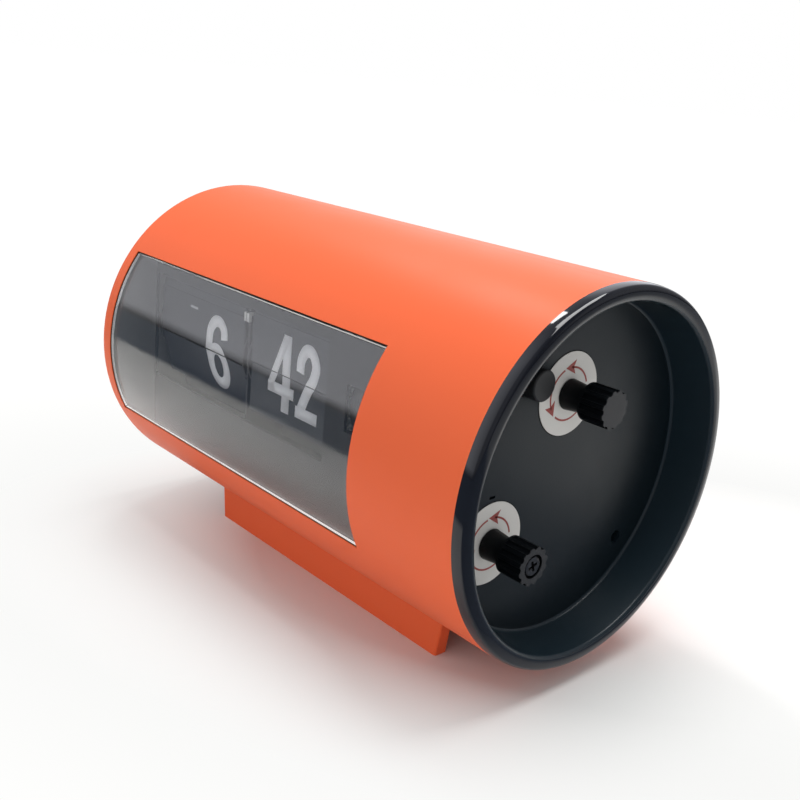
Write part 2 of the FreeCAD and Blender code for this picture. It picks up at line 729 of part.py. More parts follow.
def make_plates():
    """Two round end plates and a middle plate, on four tie rods."""
    rods = [(y, z) for y in ("-rod_across", "rod_across") for z in ("rod_top", "-rod_top")]
    spigots = [rod("left_plate_start - 1", "right_plate_end - left_plate_start + 2",
                   "spigot_radius", y, z) for y, z in rods]
    bearing = rod("left_plate_start - 1", "right_plate_end - left_plate_start + 2",
                  "journal", "arbor_back", "arbor_up")
    left = rod("left_plate_start", "plate_thickness", "plate_radius")
    node("left_plate", cut(left, bearing, *spigots))
    right = rod("right_plate_start", "plate_thickness", "plate_radius")
    through = [rod("right_plate_start - 1", "plate_thickness + 2", radius, y, z)
               for radius, y, z in (("shaft_radius + running_fit", "alarm_knob_y", "alarm_knob_z"),
                                    ("shaft_radius + running_fit", "time_knob_y", "time_knob_z"),
                                    ("motor_shaft + slide_fit", "motor_y", "motor_z"))]
    node("right_plate", cut(right, bearing, *(spigots + through)))
    sheet_ = common(rod("middle_plate_start", "middle_plate_thickness", "plate_radius"),
                    block("middle_plate_start", "1 - plate_front", "-plate_radius",
                          "middle_plate_thickness", "2 * plate_radius", "2 * plate_radius"))
    holes = [rod("middle_plate_start - 1", "middle_plate_thickness + 2", "rod_radius", y, z)
             for y, z in rods]
    holes.append(rod("middle_plate_start - 1", "middle_plate_thickness + 2",
                     "arbor_radius + slide_fit", "arbor_back", "arbor_up"))
    holes.append(rod("middle_plate_start - 1", "middle_plate_thickness + 2",
                     "tray_radius", "cell_back", "-cell_drop"))
    node("middle_plate", cut(sheet_, *holes))
    bars = []
    nuts = []
    for y, z in rods:
        spigot = rod("left_plate_start", "right_plate_end + nut_height - left_plate_start",
                     "spigot_radius", y, z)
        middle = rod("left_plate_end", "right_plate_start - left_plate_end",
                     "rod_radius", y, z)
        head = rod("left_plate_start - rivet_height", "rivet_height", "rod_radius", y, z)
        bars.append(fuse(head, spigot, middle))
        nut = doc.addObject("Part::Prism", "Nut")
        nut.Polygon = 6
        bind(nut, "Circumradius", "spigot_radius * 2")
        bind(nut, "Height", "nut_height")
        nut.Placement.Rotation = ALONG_X
        place(nut, "right_plate_end", y, z)
        nuts.append(cut(nut, rod("right_plate_end", "nut_height", "spigot_radius", y, z)))
    node("tie_rods", group(*bars))
    node("rod_nuts", group(*nuts))
    posts = []
    for y, z in (("fixing_rear", "-fixing_rear_drop"), ("-fixing_front", "0")):
        post = rod("right_plate_end", "panel_back - boss_length - right_plate_end",
                   "boss_radius", y, z)
        drilling = rod("panel_front - well_depth - screw_length", "screw_length",
                       "screw_radius", y, z)
        posts.append(cut(post, drilling))
    node("panel_posts", group(*posts))


def make_drums():
    """The hour drum with its arbor, and the minute drum that runs on the arbor."""
    centre = ("arbor_back", "arbor_up")
    node("arbor", rod("left_plate_start", "right_plate_end - left_plate_start",
                      "arbor_radius", *centre))
    discs = [rod("hour_disc_start", "disc_thickness", "disc_radius", *centre),
             rod("hour_leaf_end + leaf_fit", "disc_thickness", "disc_radius", *centre)]
    core = rod("hour_disc_start", "hour_leaf_end + leaf_fit + disc_thickness - hour_disc_start",
               "hub_radius", *centre)
    bore = rod("hour_disc_start - 1", "hour_leaf_width + 10",
               "arbor_radius + press_gap", *centre)
    node("hour_spool", cut(fuse(core, *discs), bore))
    first = "minute_leaf_start - leaf_fit - disc_thickness"
    discs = [rod(first, "disc_thickness", "disc_radius", *centre),
             rod("minute_leaf_end + leaf_fit", "disc_thickness", "disc_radius", *centre)]
    core = rod(first, "minute_disc_end - (%s)" % first, "hub_radius", *centre)
    sleeve = rod(first, "minute_gear_start + gear_width - (%s)" % first,
                 "sleeve_radius", *centre)
    bore = rod(first + " - 1", "minute_leaf_width + 20", "journal", *centre)
    node("minute_spool", cut(fuse(core, sleeve, *discs), bore))
    node("clutch_washer", tube("clutch_start", "clutch_thickness", "clutch_radius",
                               "sleeve_radius + press_gap", *centre))


def make_trains():
    """Gear trains: motor to minutes, setting knob to minutes, minutes to hours, alarm."""
    centre = ("arbor_back", "arbor_up")
    idler = ("idler_y", "idler_z")
    knob = ("time_knob_y", "time_knob_z")
    carry = ("transfer_y", "arbor_up")
    motor = ("motor_y", "motor_z")
    alarm = ("alarm_knob_y", "alarm_knob_z")
    wheel = gear(None, "minute_gear_start", "setting_module", "minute_teeth", *centre,
                 "0", "sleeve_radius + press_gap")
    pinion = gear(None, "transfer_start", "transfer_module", "minute_pinion_teeth", *centre,
                  "0", "journal")
    neck = tube("minute_gear_start + gear_width", "gear_space", "sleeve_radius + 1",
                "journal", *centre)
    node("minute_gear", fuse(wheel, neck, pinion))
    idler_phase = mate("to_idler", "0", "minute_teeth", "idler_teeth")
    gear("time_idler", "minute_gear_start", "setting_module", "idler_teeth", *idler,
         idler_phase, "stud_radius + running_fit")
    gear("time_pinion", "minute_gear_start", "setting_module", "time_pinion_teeth", *knob,
         mate("to_time_pinion", idler_phase, "idler_teeth", "time_pinion_teeth"),
         "shaft_radius + press_gap")
    transfer = gear(None, "transfer_start", "transfer_module", "transfer_teeth", *carry,
                    mate("0", "0", "minute_pinion_teeth", "transfer_teeth"),
                    "stud_radius + running_fit")
    small = gear(None, "hour_gear_start", "hour_module", "hour_pinion_teeth", *carry,
                 "0", "stud_radius + running_fit")
    neck = tube("transfer_start + gear_width", "gear_space", "stud_radius + 0.5",
                "stud_radius + running_fit", *carry)
    node("transfer_wheel", fuse(transfer, neck, small))
    gear("hour_gear", "hour_gear_start", "hour_module", "hour_teeth", *centre,
         mate("180", "0", "hour_pinion_teeth", "hour_teeth"), "arbor_radius + press_gap")
    gear("drive_wheel", "drive_start", "motor_module", "drive_teeth", *centre,
         "0", "sleeve_radius + running_fit")
    small = gear(None, "drive_start", "motor_module", "motor_pinion_teeth", *motor,
                 mate("motor_angle", "0", "drive_teeth", "motor_pinion_teeth"),
                 "motor_shaft / 2")
    spindle = rod("drive_start - 0.4", "right_plate_end + motor_length / 2 - drive_start + 0.4",
                  "motor_shaft", *motor)
    node("motor_pinion", fuse(small, spindle))
    can = rod("right_plate_end", "motor_length", "motor_radius", *motor)
    hollow = rod("right_plate_end - 1", "motor_length * 0.6 + 1", "motor_shaft + running_fit",
                 *motor)
    node("motor", cut(can, hollow))
    drum = tube("dial_start", "dial_length", "dial_radius", "journal", *centre)
    neck = tube("dial_start + dial_length", "gear_space", "hub_radius", "journal", *centre)
    teeth = gear(None, "dial_gear_start", "alarm_module", "alarm_teeth", *centre,
                 "0", "journal")
    node("alarm_dial", fuse(drum, neck, teeth))
    gear("alarm_gear", "dial_gear_start", "alarm_module", "alarm_teeth", *alarm,
         mate("alarm_knob_angle", "0", "alarm_teeth", "alarm_teeth"),
         "shaft_radius + press_gap")
    reach = "right_plate_start - minute_gear_start"
    thin = rod("minute_gear_start - 0.4", reach + " + 0.4", "stud_radius", *idler)
    thick = rod("minute_gear_start + gear_width + running_fit",
                reach + " - gear_width - running_fit", "stud_radius * 2", *idler)
    node("idler_stud", fuse(thin, thick))
    node("transfer_stud", rod("transfer_start - 0.4",
                              "right_plate_start - transfer_start + 0.4",
                              "stud_radius", *carry))


def leaf(width, height, thickness, x, y, z, turn):
    """One thin leaf from its hinge edge; turn is from -Y towards +Z."""
    card = Part.makeBox(width, thickness, height)
    card.translate(Vector(0, -thickness / 2, 0))
    card.Placement = FreeCAD.Placement(Vector(x, y, z),
                                       Rotation(Vector(1, 0, 0), 90 - turn)).multiply(card.Placement)
    return card


def leaf_pack(name, start, width, pitch_angle, first_angle, hinge_rise, lean):
    """The leaves that wait on a drum: bunched upright in front, fanned, then hanging."""
    reach = size("pivot_radius")
    height = size("leaf_height") - size("leaf_fit")
    thick = size("leaf_thickness")
    cards = []
    for count in range(1, int(round(360 / pitch_angle)) - 1):
        spot = first_angle + pitch_angle * count
        forward = min(reach * math.cos(math.radians(spot)),
                      reach - size("leaf_pitch") * count)
        rise = reach * math.sin(math.radians(spot))
        turn = min(max(90 + 1.3 * (spot - 60), 90), 270 - lean)
        cards.append(leaf(width, height, thick, start,
                          -forward, rise, turn))
    shown = reach - size("leaf_offset") + size("leaf_thickness") / 2
    cards.append(leaf(width, height, thick, start, -shown, hinge_rise - size("leaf_fit"),
                      270 - lean))
    pack = doc.addObject("Part::Feature", "LeafPack")
    pack.Shape = Part.makeCompound(cards)
    bind(pack, "Placement.Base.y", "arbor_back")
    bind(pack, "Placement.Base.z", "axis_height + arbor_up")
    node(name, pack)


def make_leaves():
    """Waiting leaves, and the front upper leaf of each drum, ready to fall."""
    leaf_pack("hour_leaf_pack", size("hour_leaf_start"), size("hour_leaf_width"), 15,
              size("hour_hinge_angle"), size("hour_hinge_z") - size("arbor_up"),
              size("hour_hang_lean"))
    leaf_pack("minute_leaf_pack", size("minute_leaf_start"), size("minute_leaf_width"), 6,
              0, 0, 0)
    back = "hinge_y - leaf_thickness / 4"
    node("hour_flip_leaf", block("hour_leaf_start", back, "hour_hinge_z + leaf_fit",
                                 "hour_leaf_width", "leaf_thickness",
                                 "leaf_height - leaf_fit"))
    node("minute_flip_leaf", block("minute_leaf_start", back, "arbor_up + leaf_fit",
                                   "minute_leaf_width", "leaf_thickness",
                                   "leaf_height - leaf_fit"))


def make_catches():
    """Two small catches on the middle plate, over the top corners of the leaves."""
    tip = ("-plate_front - 0.5", "catch_top - catch_height")
    reach = "catch_arm"
    arm = block("middle_plate_start - 0.5", tip[0], "catch_top - 1", "0.5", reach, "1")
    nose = block("middle_plate_start - 0.5", tip[0], tip[1], "catch_width * 0.75", "0.9",
                 "catch_height")
    node("hour_leaf_catch", fuse(arm, nose))
    first = "middle_plate_start + middle_plate_thickness"
    arm = block(first, tip[0], "catch_top - 1", "0.5", reach, "1")
    nose = block(first, tip[0], tip[1], "catch_width", "0.9", "catch_height")
    node("minute_leaf_catch", fuse(arm, nose))


def make_mask():
    """Flat black mask behind the window with one opening for the leaves, one for the dial."""
    panel = block("left_plate_end", "-plate_front - mask_thickness", "-mask_reach",
                  "right_plate_start - left_plate_end", "mask_thickness", "2 * mask_reach")
    leaves = block("hour_leaf_start - leaf_view_margin", "-plate_front - 2 * mask_thickness",
                   "leaf_view_bottom",
                   "minute_leaf_end - hour_leaf_start + 2 * leaf_view_margin",
                   "3 * mask_thickness", "leaf_view_top - leaf_view_bottom")
    dial = block("dial_start + leaf_fit", "-plate_front - 2 * mask_thickness",
                 "arbor_up - dial_view_half", "dial_length - 2 * leaf_fit",
                 "3 * mask_thickness", "2 * dial_view_half")
    node("display_mask", cut(panel, leaves, dial))


# ---------------------------------------------------------------- power
def turned_block(x, near, aside, length, depth, height):
    """A box in the battery door's direction: near is its distance from the axis."""
    thing = doc.addObject("Part::Box", "TurnedBlock")
    bind(thing, "Length", length)
    bind(thing, "Width", depth)
    bind(thing, "Height", height)
    corner = "create(<<vector>>; 0; 0; axis_height)"
    turn = "create(<<rotation>>; create(<<vector>>; 1; 0; 0); door_angle)"
    offset = "create(<<vector>>; %s; %s; %s)" % (x, near, aside)
    still = "create(<<rotation>>; create(<<vector>>; 1; 0; 0); 0)"
    bind(thing, "Placement", "create(<<placement>>; %s; %s) * create(<<placement>>; %s; %s)"
         % (corner, turn, offset, still))
    return thing


def coil(name, x, length, radius_alias, wire_alias, turns, y, z):
    """A round-wire spring along X."""
    radius = size(radius_alias)
    wire = size(wire_alias)
    pitch = (length - wire * 1.1) / turns
    path = Part.makeHelix(pitch, pitch * turns, radius)
    section = Part.Wire(Part.Circle(Vector(radius, 0, 0), Vector(0, 1, 0), wire / 2).toShape())
    shape = Part.Wire(path.Edges).makePipeShell([section], True, True)
    spring = doc.addObject("Part::Feature", "Spring")
    spring.Shape = shape
    spring.Placement.Rotation = ALONG_X
    place(spring, "%s + %s * 0.55" % (x, wire_alias), y, z)
    return node(name, spring) if name else spring


def make_power():
    """Battery bay along the back, its door, the cell and its contacts."""
    cell = ("cell_back", "-cell_drop")
    trough = tube("tray_start", "bay_end + tray_wall - tray_start", "tray_radius",
                  "tray_bore", *cell)
    plug = rod("tray_start", "bay_start - tray_start", "tray_radius", *cell)
    stop = rod("bay_end", "tray_wall", "tray_radius", *cell)
    gap = turned_block("bay_start", "cell_reach", "-tray_radius - 1", "bay_end - bay_start",
                       "tube_radius", "2 * tray_radius + 2")
    node("battery_holder", fuse(cut(trough, gap), plug, stop))
    can = rod("cell_start", "cell_length", "cell_radius", *cell)
    nub = rod("cell_start + cell_length", "nub_length", "nub_radius", *cell)
    node("battery", fuse(can, nub))
    node("positive_contact", rod("bay_end - contact_thickness", "contact_thickness",
                                 "nub_radius * 1.6", *cell))
    base = rod("bay_start", "contact_thickness", "nub_radius * 1.6", *cell)
    spring = coil(None, "bay_start + contact_thickness", size("spring_room"),
                  "contact_coil_radius", "contact_wire", 3.5, *cell)
    node("negative_contact", group(base, spring))
    gap = "seat_gap / tube_radius * 180 / pi"
    skin = tube("door_start + seat_gap", "door_length - 2 * seat_gap", "tube_radius",
                "bore_radius")
    slice_ = sector("door_start", "door_length", "tube_radius * 1.2",
                    "door_angle - door_half_angle + " + gap,
                    "door_angle + door_half_angle - " + gap)
    notch = turned_block("door_start + door_length - notch_inset - notch_length",
                         "tube_radius - notch_depth", "-notch_width / 2", "notch_length",
                         "2 * notch_depth", "notch_width")
    node("battery_door", cut(common(skin, slice_), notch))


def make_electrics():
    """Circuit board with its parts, and the buzzer."""
    node("circuit_board", block("left_plate_end", "board_back", "board_bottom",
                                "middle_plate_start - left_plate_end", "board_thickness",
                                "board_height"))
    face = "board_back + board_thickness"
    chip = block("left_plate_end + chip_along", face, "board_bottom + chip_up",
                 "chip_length", "chip_height", "chip_width")
    cans = [rod("left_plate_end + capacitor_along + %s" % along, "capacitor_length",
                "capacitor_radius", face + " + capacitor_radius", "board_bottom + capacitor_up")
            for along in ("0", "chip_along + chip_length")]
    node("board_components", group(chip, *cans))
    buzzer = rod("right_plate_end", "buzzer_length", "buzzer_radius", "buzzer_back", "buzzer_up")
    throat = rod("right_plate_end + buzzer_length / 2", "buzzer_length", "1.5",
                 "buzzer_back", "buzzer_up")
    node("buzzer", cut(buzzer, throat))
    coil("button_spring", "right_plate_end + switch_length",
         size("panel_back") - size("right_plate_end") - size("switch_length")
         - size("button_flange") - size("button_travel") - 2 * size("running_fit"),
         "return_coil_radius", "return_wire", 5, "button_back", "button_up")


# ---------------------------------------------------------------- build and write
def write_parts():
    """Recompute, test every object, and write one file for each sub-part."""
    doc.recompute()
    for thing in doc.Objects:
        if {"Invalid", "Error"} & set(thing.State):
            raise ValueError("%s (%s) is not worked out" % (thing.Name, thing.Label))
    for thing in nodes:
        if thing.Shape.isNull() or not thing.Shape.isValid() or thing.Shape.Volume <= 0:
            raise ValueError("%s has no valid shape" % thing.Label)
    os.makedirs("parts", exist_ok=True)
    for thing in nodes:
        thing.Shape.exportStep(os.path.join("parts", thing.Label + ".step"))
        print("%-20s %2d solids %12.3f mm3" % (thing.Label, len(thing.Shape.Solids),
                                               thing.Shape.Volume))


make_housing()
make_lens()
make_rail("front_foot_rail", "-1")
make_rail("rear_foot_rail", "1")
make_bezel()
make_panel()
make_panel_screws()
make_labels()
make_controls()
make_plates()
make_drums()
make_trains()
make_leaves()
make_catches()
make_mask()
make_power()
make_electrics()
write_parts()
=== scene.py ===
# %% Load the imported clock
import math

import bpy
from mathutils import Matrix, Vector


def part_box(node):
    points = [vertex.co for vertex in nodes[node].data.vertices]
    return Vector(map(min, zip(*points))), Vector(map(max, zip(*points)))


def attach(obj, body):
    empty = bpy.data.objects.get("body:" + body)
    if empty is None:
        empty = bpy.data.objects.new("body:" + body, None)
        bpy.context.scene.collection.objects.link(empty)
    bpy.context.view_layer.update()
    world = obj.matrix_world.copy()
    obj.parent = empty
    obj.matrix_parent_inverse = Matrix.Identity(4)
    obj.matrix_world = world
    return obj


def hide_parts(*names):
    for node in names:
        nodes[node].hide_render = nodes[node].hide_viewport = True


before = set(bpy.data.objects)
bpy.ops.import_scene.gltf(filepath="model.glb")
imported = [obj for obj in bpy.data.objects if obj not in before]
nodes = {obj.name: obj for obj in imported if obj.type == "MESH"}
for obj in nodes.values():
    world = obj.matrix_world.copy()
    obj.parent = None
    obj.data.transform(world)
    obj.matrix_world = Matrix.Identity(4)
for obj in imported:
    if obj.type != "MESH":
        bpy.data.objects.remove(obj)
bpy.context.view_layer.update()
MM = 0.001
AXIS = 0.056
print("pieces from the frame:", len(nodes))

# %% [markdown]
# Where things are. The case is a tube along X whose axis is 56 mm above the table. The two
# leaf drums turn on one arbor, a little above that axis, and each leaf hangs on pivots that
# stand in a circle round it. Places are in millimetres from the tube's axis, and one small
# function turns them into Blender's metres, so that a number can be compared with a ruler
# held against the real clock.

# %% A point in millimetres from the tube's axis
def point(x, y, z):
    return Vector((x * MM, y * MM, z * MM + AXIS))


ARBOR_Z = 5.5
PIVOT_RADIUS = 11
HOUR_HINGE_ANGLE = -13.1
HOUR_HINGE_Z = ARBOR_Z + PIVOT_RADIUS * math.sin(math.radians(HOUR_HINGE_ANGLE))
MINUTE_HINGE_Z = ARBOR_Z
ALARM_KNOB = (-4.151, 20.349)
TIME_KNOB = (-26.4, -14.5)
PANEL_X = 70.8
LABEL_X = 71.0
print("hour hinge at", round(HOUR_HINGE_Z, 3), "mm above the tube's axis")

# %% [markdown]
# The camera stands a little above the clock, to the right of its window, so that the front
# and the control end both show. It is built from its viewing direction: the right and up
# directions follow from that and a small roll, and together they are the three columns of
# the camera's rotation.

# %% Camera
def aim_camera(place, direction, roll, focal_mm, shift_x, shift_y):
    forward = Vector(direction).normalized()
    right = forward.cross(Vector((0, 0, 1))).normalized()
    up = right.cross(forward)
    turn = math.radians(roll)
    across = right * math.cos(turn) + up * math.sin(turn)
    upward = up * math.cos(turn) - right * math.sin(turn)
    rows = Matrix((across, upward, -forward)).transposed().to_4x4()
    bpy.ops.object.camera_add()
    camera = bpy.context.object
    camera.name = "studio_camera"
    camera.matrix_world = Matrix.Translation(place) @ rows
    camera.data.lens = focal_mm
    camera.data.sensor_width = 36
    camera.data.shift_x = shift_x
    camera.data.shift_y = shift_y
    camera.data.clip_start = 0.01
    bpy.context.scene.camera = camera
    return camera


camera = aim_camera(place=point(214.6, -196.4, 89.6), direction=(-0.6864, 0.6616, -0.3019),
                    roll=5.67, focal_mm=45.32, shift_x=-0.01125, shift_y=0.0005)
print("camera at", [round(v, 4) for v in camera.location])

# %% [markdown]
# Shader helpers. A material here is a Principled BSDF with a few nodes in front of it. The
# helpers add a node, set its sockets by name and link another node's output where the value
# is a socket, which keeps each material down to a few readable lines. A socket without a
# useful name is given by its number, as in _0.

# %% Node helpers
def fill(tree, socket, value):
    if isinstance(value, bpy.types.NodeSocket):
        tree.links.new(value, socket)
    else:
        socket.default_value = value


def add_node(tree, kind, **sockets):
    node = tree.nodes.new(kind)
    for name, value in sockets.items():
        key = int(name[1:]) if name[0] == "_" else name.replace("_", " ")
        fill(tree, node.inputs[key], value)
    return node


def object_coordinates(tree):
    return tree.nodes.new("ShaderNodeTexCoord").outputs["Object"]


def maths(tree, operation, first, second=0.0):
    node = add_node(tree, "ShaderNodeMath", _0=first, _1=second)
    node.operation = operation
    return node.outputs[0]


def remap(tree, value, low_in, high_in, low_out, high_out):
    node = add_node(tree, "ShaderNodeMapRange", Value=value, From_Min=low_in,
                    From_Max=high_in, To_Min=low_out, To_Max=high_out)
    return node.outputs["Result"]


def blend_colours(tree, factor, first, second):
    node = tree.nodes.new("ShaderNodeMix")
    node.data_type = "RGBA"
    for number, value in ((0, factor), (6, first), (7, second)):
        fill(tree, node.inputs[number], value)
    return node.outputs[2]


def mix_shaders(tree, factor, first, second):
    """The first shader where the factor is 0, the second where it is 1."""
    return add_node(tree, "ShaderNodeMixShader", _0=factor, _1=first, _2=second).outputs[0]


# %% [markdown]
# Many finishes here change with place: the tube is black inside, and at the window's cut
# edges that black is painted shade; the ring is polished at its rim; and the knobs' tips are
# painted paler as painted light. A place is read from the object's coordinates, which are the
# clock's own because no piece is turned or moved, as one axis or as the distance from the
# tube's axis. A paint of another colour then goes over the base colour.

# %% Where a point of a surface is
def split_axes(tree, vector):
    return add_node(tree, "ShaderNodeSeparateXYZ", _0=vector).outputs


def length_of(tree, vector):
    node = add_node(tree, "ShaderNodeVectorMath", _0=vector)
    node.operation = "LENGTH"
    return node.outputs["Value"]


def distance_from_axis(tree, where):
    across = add_node(tree, "ShaderNodeMapping", Vector=where, Location=(0, 0, -AXIS),
                      Scale=(0, 1, 1))
    return length_of(tree, across.outputs[0])


def paint_over(tree, shader, mask, colour):
    under = shader.inputs["Base Color"].links[0].from_socket
    tree.links.new(blend_colours(tree, mask, under, colour), shader.inputs["Base Color"])


# %% [markdown]
# Moulded plastic is never perfectly even. A mould leaves a fine grain on the surface, and
# handling leaves slow changes in gloss. Both come from noise at two sizes. This is used by
# most of the clock's materials, so it is a node group: it takes the grain's size and gives
# out a height for the bump and a value that shifts the roughness.

# %% Group: moulded grain
def make_grain_group():
    group = bpy.data.node_groups.new("Moulded grain", "ShaderNodeTree")
    group.interface.new_socket("Vector", in_out="INPUT", socket_type="NodeSocketVector")
    group.interface.new_socket("Grains per metre", in_out="INPUT", socket_type="NodeSocketFloat")
    group.interface.new_socket("Gloss change", in_out="INPUT", socket_type="NodeSocketFloat")
    group.interface.new_socket("Height", in_out="OUTPUT", socket_type="NodeSocketFloat")
    group.interface.new_socket("Roughness shift", in_out="OUTPUT", socket_type="NodeSocketFloat")
    entry = group.nodes.new("NodeGroupInput")
    leave = group.nodes.new("NodeGroupOutput")
    fine = add_node(group, "ShaderNodeTexNoise", Vector=entry.outputs["Vector"],
                    Scale=entry.outputs["Grains per metre"], Detail=3.0, Roughness=0.6)
    slow = add_node(group, "ShaderNodeTexNoise", Vector=entry.outputs["Vector"],
                    Scale=45.0, Detail=2.0)
    centred = maths(group, "SUBTRACT", slow.outputs["Fac"], 0.5)
    shift = maths(group, "MULTIPLY", centred, entry.outputs["Gloss change"])
    group.links.new(fine.outputs["Fac"], leave.inputs["Height"])
    group.links.new(shift, leave.inputs["Roughness shift"])
    return group


grain_group = make_grain_group()
print("group sockets:", [s.name for s in grain_group.interface.items_tree])

# %% [markdown]
# Turned and rolled metal has thin lines that run one way. Stretching a noise along one axis
# gives them. The group takes the direction as a scale for each axis, so the same group serves
# shafts, rods and flat plates.

# %% Group: brushed lines
def make_brushed_group():
    group = bpy.data.node_groups.new("Brushed lines", "ShaderNodeTree")
    group.interface.new_socket("Vector", in_out="INPUT", socket_type="NodeSocketVector")
    group.interface.new_socket("Line scale", in_out="INPUT", socket_type="NodeSocketVector")
    group.interface.new_socket("Lines", in_out="OUTPUT", socket_type="NodeSocketFloat")
    entry = group.nodes.new("NodeGroupInput")
    leave = group.nodes.new("NodeGroupOutput")
    stretch = group.nodes.new("ShaderNodeVectorMath")
    stretch.operation = "MULTIPLY"
    group.links.new(entry.outputs["Vector"], stretch.inputs[0])
    group.links.new(entry.outputs["Line scale"], stretch.inputs[1])
    lines = add_node(group, "ShaderNodeTexNoise", Vector=stretch.outputs[0], Scale=1.0,
                     Detail=4.0)
    group.links.new(lines.outputs["Fac"], leave.inputs["Lines"])
    return group


brushed_group = make_brushed_group()
print("group sockets:", [s.name for s in brushed_group.interface.items_tree])

# %% [markdown]
# One function makes each plastic: base colour, gloss, how coarse the grain is and how deep.
# The colour drifts very slightly with the slow noise, as pigment does in a moulding. The
# second function does the same for metals with the brushed group.

# %% Plastic and metal
GRAIN_DEPTH = 0.2 * MM
LINE_DEPTH = 0.1 * MM


def new_material(name):
    material = bpy.data.materials.new(name)
    material.use_nodes = True
    tree = material.node_tree
    return material, tree, tree.nodes["Principled BSDF"]


def use_group(tree, group, **sockets):
    node = tree.nodes.new("ShaderNodeGroup")
    node.node_tree = group
    for name, value in sockets.items():
        fill(tree, node.inputs[name.replace("_", " ")], value)
    return node


def add_bump(tree, shader, height, strength, distance):
    bump = add_node(tree, "ShaderNodeBump", Strength=strength, Distance=distance,
                    Height=height)
    tree.links.new(bump.outputs["Normal"], shader.inputs["Normal"])


def set_specular(material, level):
    shader = material.node_tree.nodes["Principled BSDF"]
    shader.inputs["Specular IOR Level"].default_value = level


def plastic(name, colour, roughness, grain=2500.0, depth=0.05, gloss_change=0.12, drift=0.06):
    material, tree, shader = new_material(name)
    where = object_coordinates(tree)
    group = use_group(tree, grain_group, Vector=where, Grains_per_metre=grain,
                      Gloss_change=gloss_change)
    rough = maths(tree, "ADD", group.outputs["Roughness shift"], roughness)
    tree.links.new(rough, shader.inputs["Roughness"])
    add_bump(tree, shader, group.outputs["Height"], depth, GRAIN_DEPTH)
    tint = add_node(tree, "ShaderNodeTexNoise", Vector=where, Scale=18.0, Detail=2.0)
    darker = [c * (1 - drift) for c in colour] + [1]
    lighter = [min(1, c * (1 + drift)) for c in colour] + [1]
    tree.links.new(blend_colours(tree, tint.outputs["Fac"], darker, lighter),
                   shader.inputs["Base Color"])
    return material


def metal(name, colour, roughness, line_scale):
    material, tree, shader = new_material(name)
    shader.inputs["Metallic"].default_value = 1.0
    where = object_coordinates(tree)
    group = use_group(tree, brushed_group, Vector=where, Line_scale=line_scale)
    lines = group.outputs["Lines"]
    tree.links.new(remap(tree, lines, 0.2, 0.8, roughness - 0.08, roughness + 0.12),
                   shader.inputs["Roughness"])
    dark = [c * 0.86 for c in colour] + [1]
    tree.links.new(blend_colours(tree, lines, dark, list(colour) + [1]),
                   shader.inputs["Base Color"])
    add_bump(tree, shader, lines, 0.08, LINE_DEPTH)
    return material


# %% [markdown]
# The case is satin orange plastic: a full colour, a soft broad highlight and a barely visible
# grain. The foot rails and the battery door are moulded with it and share the material.

# %% Case
ORANGE = (0.775, 0.127, 0.042)
case_orange = plastic("case_orange", ORANGE, 0.42, grain=3200, depth=0.035, drift=0.03)
set_specular(case_orange, 0.18)


def dress(material, *names):
    for name in names:
        nodes[name].data.materials.clear()
        nodes[name].data.materials.append(material)


dress(case_orange, "front_foot_rail", "rear_foot_rail", "battery_door")

# %% [markdown]
# The tube is painted black on every face within its outer skin, and that black is painted
# shade: on the cut edges of the window it draws the thin dark outline of the shaded gap round
# the pane. The mask is the distance from the tube's axis, between the two ends.

# %% Case, black inside, with painted shade at the window's cut edges
GAP_SHADE_RADIUS = 49.65
END_WALL_X = -82.6
BLACK_INSIDE_AND_GAP_SHADE = (0.012, 0.012, 0.013, 1)


def case_with_painted_gap_shade():
    material = case_orange.copy()
    material.name = "case_shell"
    tree = material.node_tree
    where = object_coordinates(tree)
    within = remap(tree, distance_from_axis(tree, where), GAP_SHADE_RADIUS * MM,
                   (GAP_SHADE_RADIUS + 0.1) * MM, 1.0, 0.0)
    before_wall = remap(tree, split_axes(tree, where)["X"], END_WALL_X * MM,
                        (END_WALL_X + 0.4) * MM, 0.0, 1.0)
    # Painted shade: black on every inner face, which draws the dark gap round the window pane.
    paint_over(tree, tree.nodes["Principled BSDF"],
               maths(tree, "MULTIPLY", within, before_wall), BLACK_INSIDE_AND_GAP_SHADE)
    return material


dress(case_with_painted_gap_shade(), "housing")

# %% [markdown]
# The end ring is one black moulding with two finishes: a polished rim, and a satin well
# behind it. The finish changes with the distance from the tube's axis, at the inner edge of
# the lip. The mask only changes roughness, grain and tint, so it holds from every side.

# %% End ring
LIP_RADIUS = 46.0
WELL_ROUGHNESS, RIM_ROUGHNESS = 0.36, 0.06
WELL_BLACK = (0.007, 0.017, 0.025, 1)
RIM_BLACK = (0.004, 0.005, 0.009, 1)


def ring_black():
    material, tree, shader = new_material("rim_black")
    where = object_coordinates(tree)
    polished = remap(tree, distance_from_axis(tree, where), LIP_RADIUS * MM,
                     (LIP_RADIUS + 1) * MM, 0.0, 1.0)
    satin_part = maths(tree, "SUBTRACT", 1.0, polished)
    group = use_group(tree, grain_group, Vector=where, Grains_per_metre=2600.0,
                      Gloss_change=0.1)
    satin = maths(tree, "ADD", group.outputs["Roughness shift"], WELL_ROUGHNESS)
    matt = maths(tree, "MULTIPLY", satin, satin_part)
    gloss = maths(tree, "MULTIPLY", polished, RIM_ROUGHNESS)
    tree.links.new(maths(tree, "ADD", matt, gloss), shader.inputs["Roughness"])
    tree.links.new(blend_colours(tree, polished, WELL_BLACK, RIM_BLACK),
                   shader.inputs["Base Color"])
    height = maths(tree, "MULTIPLY", group.outputs["Height"], satin_part)
    add_bump(tree, shader, height, 0.05, GRAIN_DEPTH)
    set_specular(material, 0.5)
    return material


rim_black = ring_black()

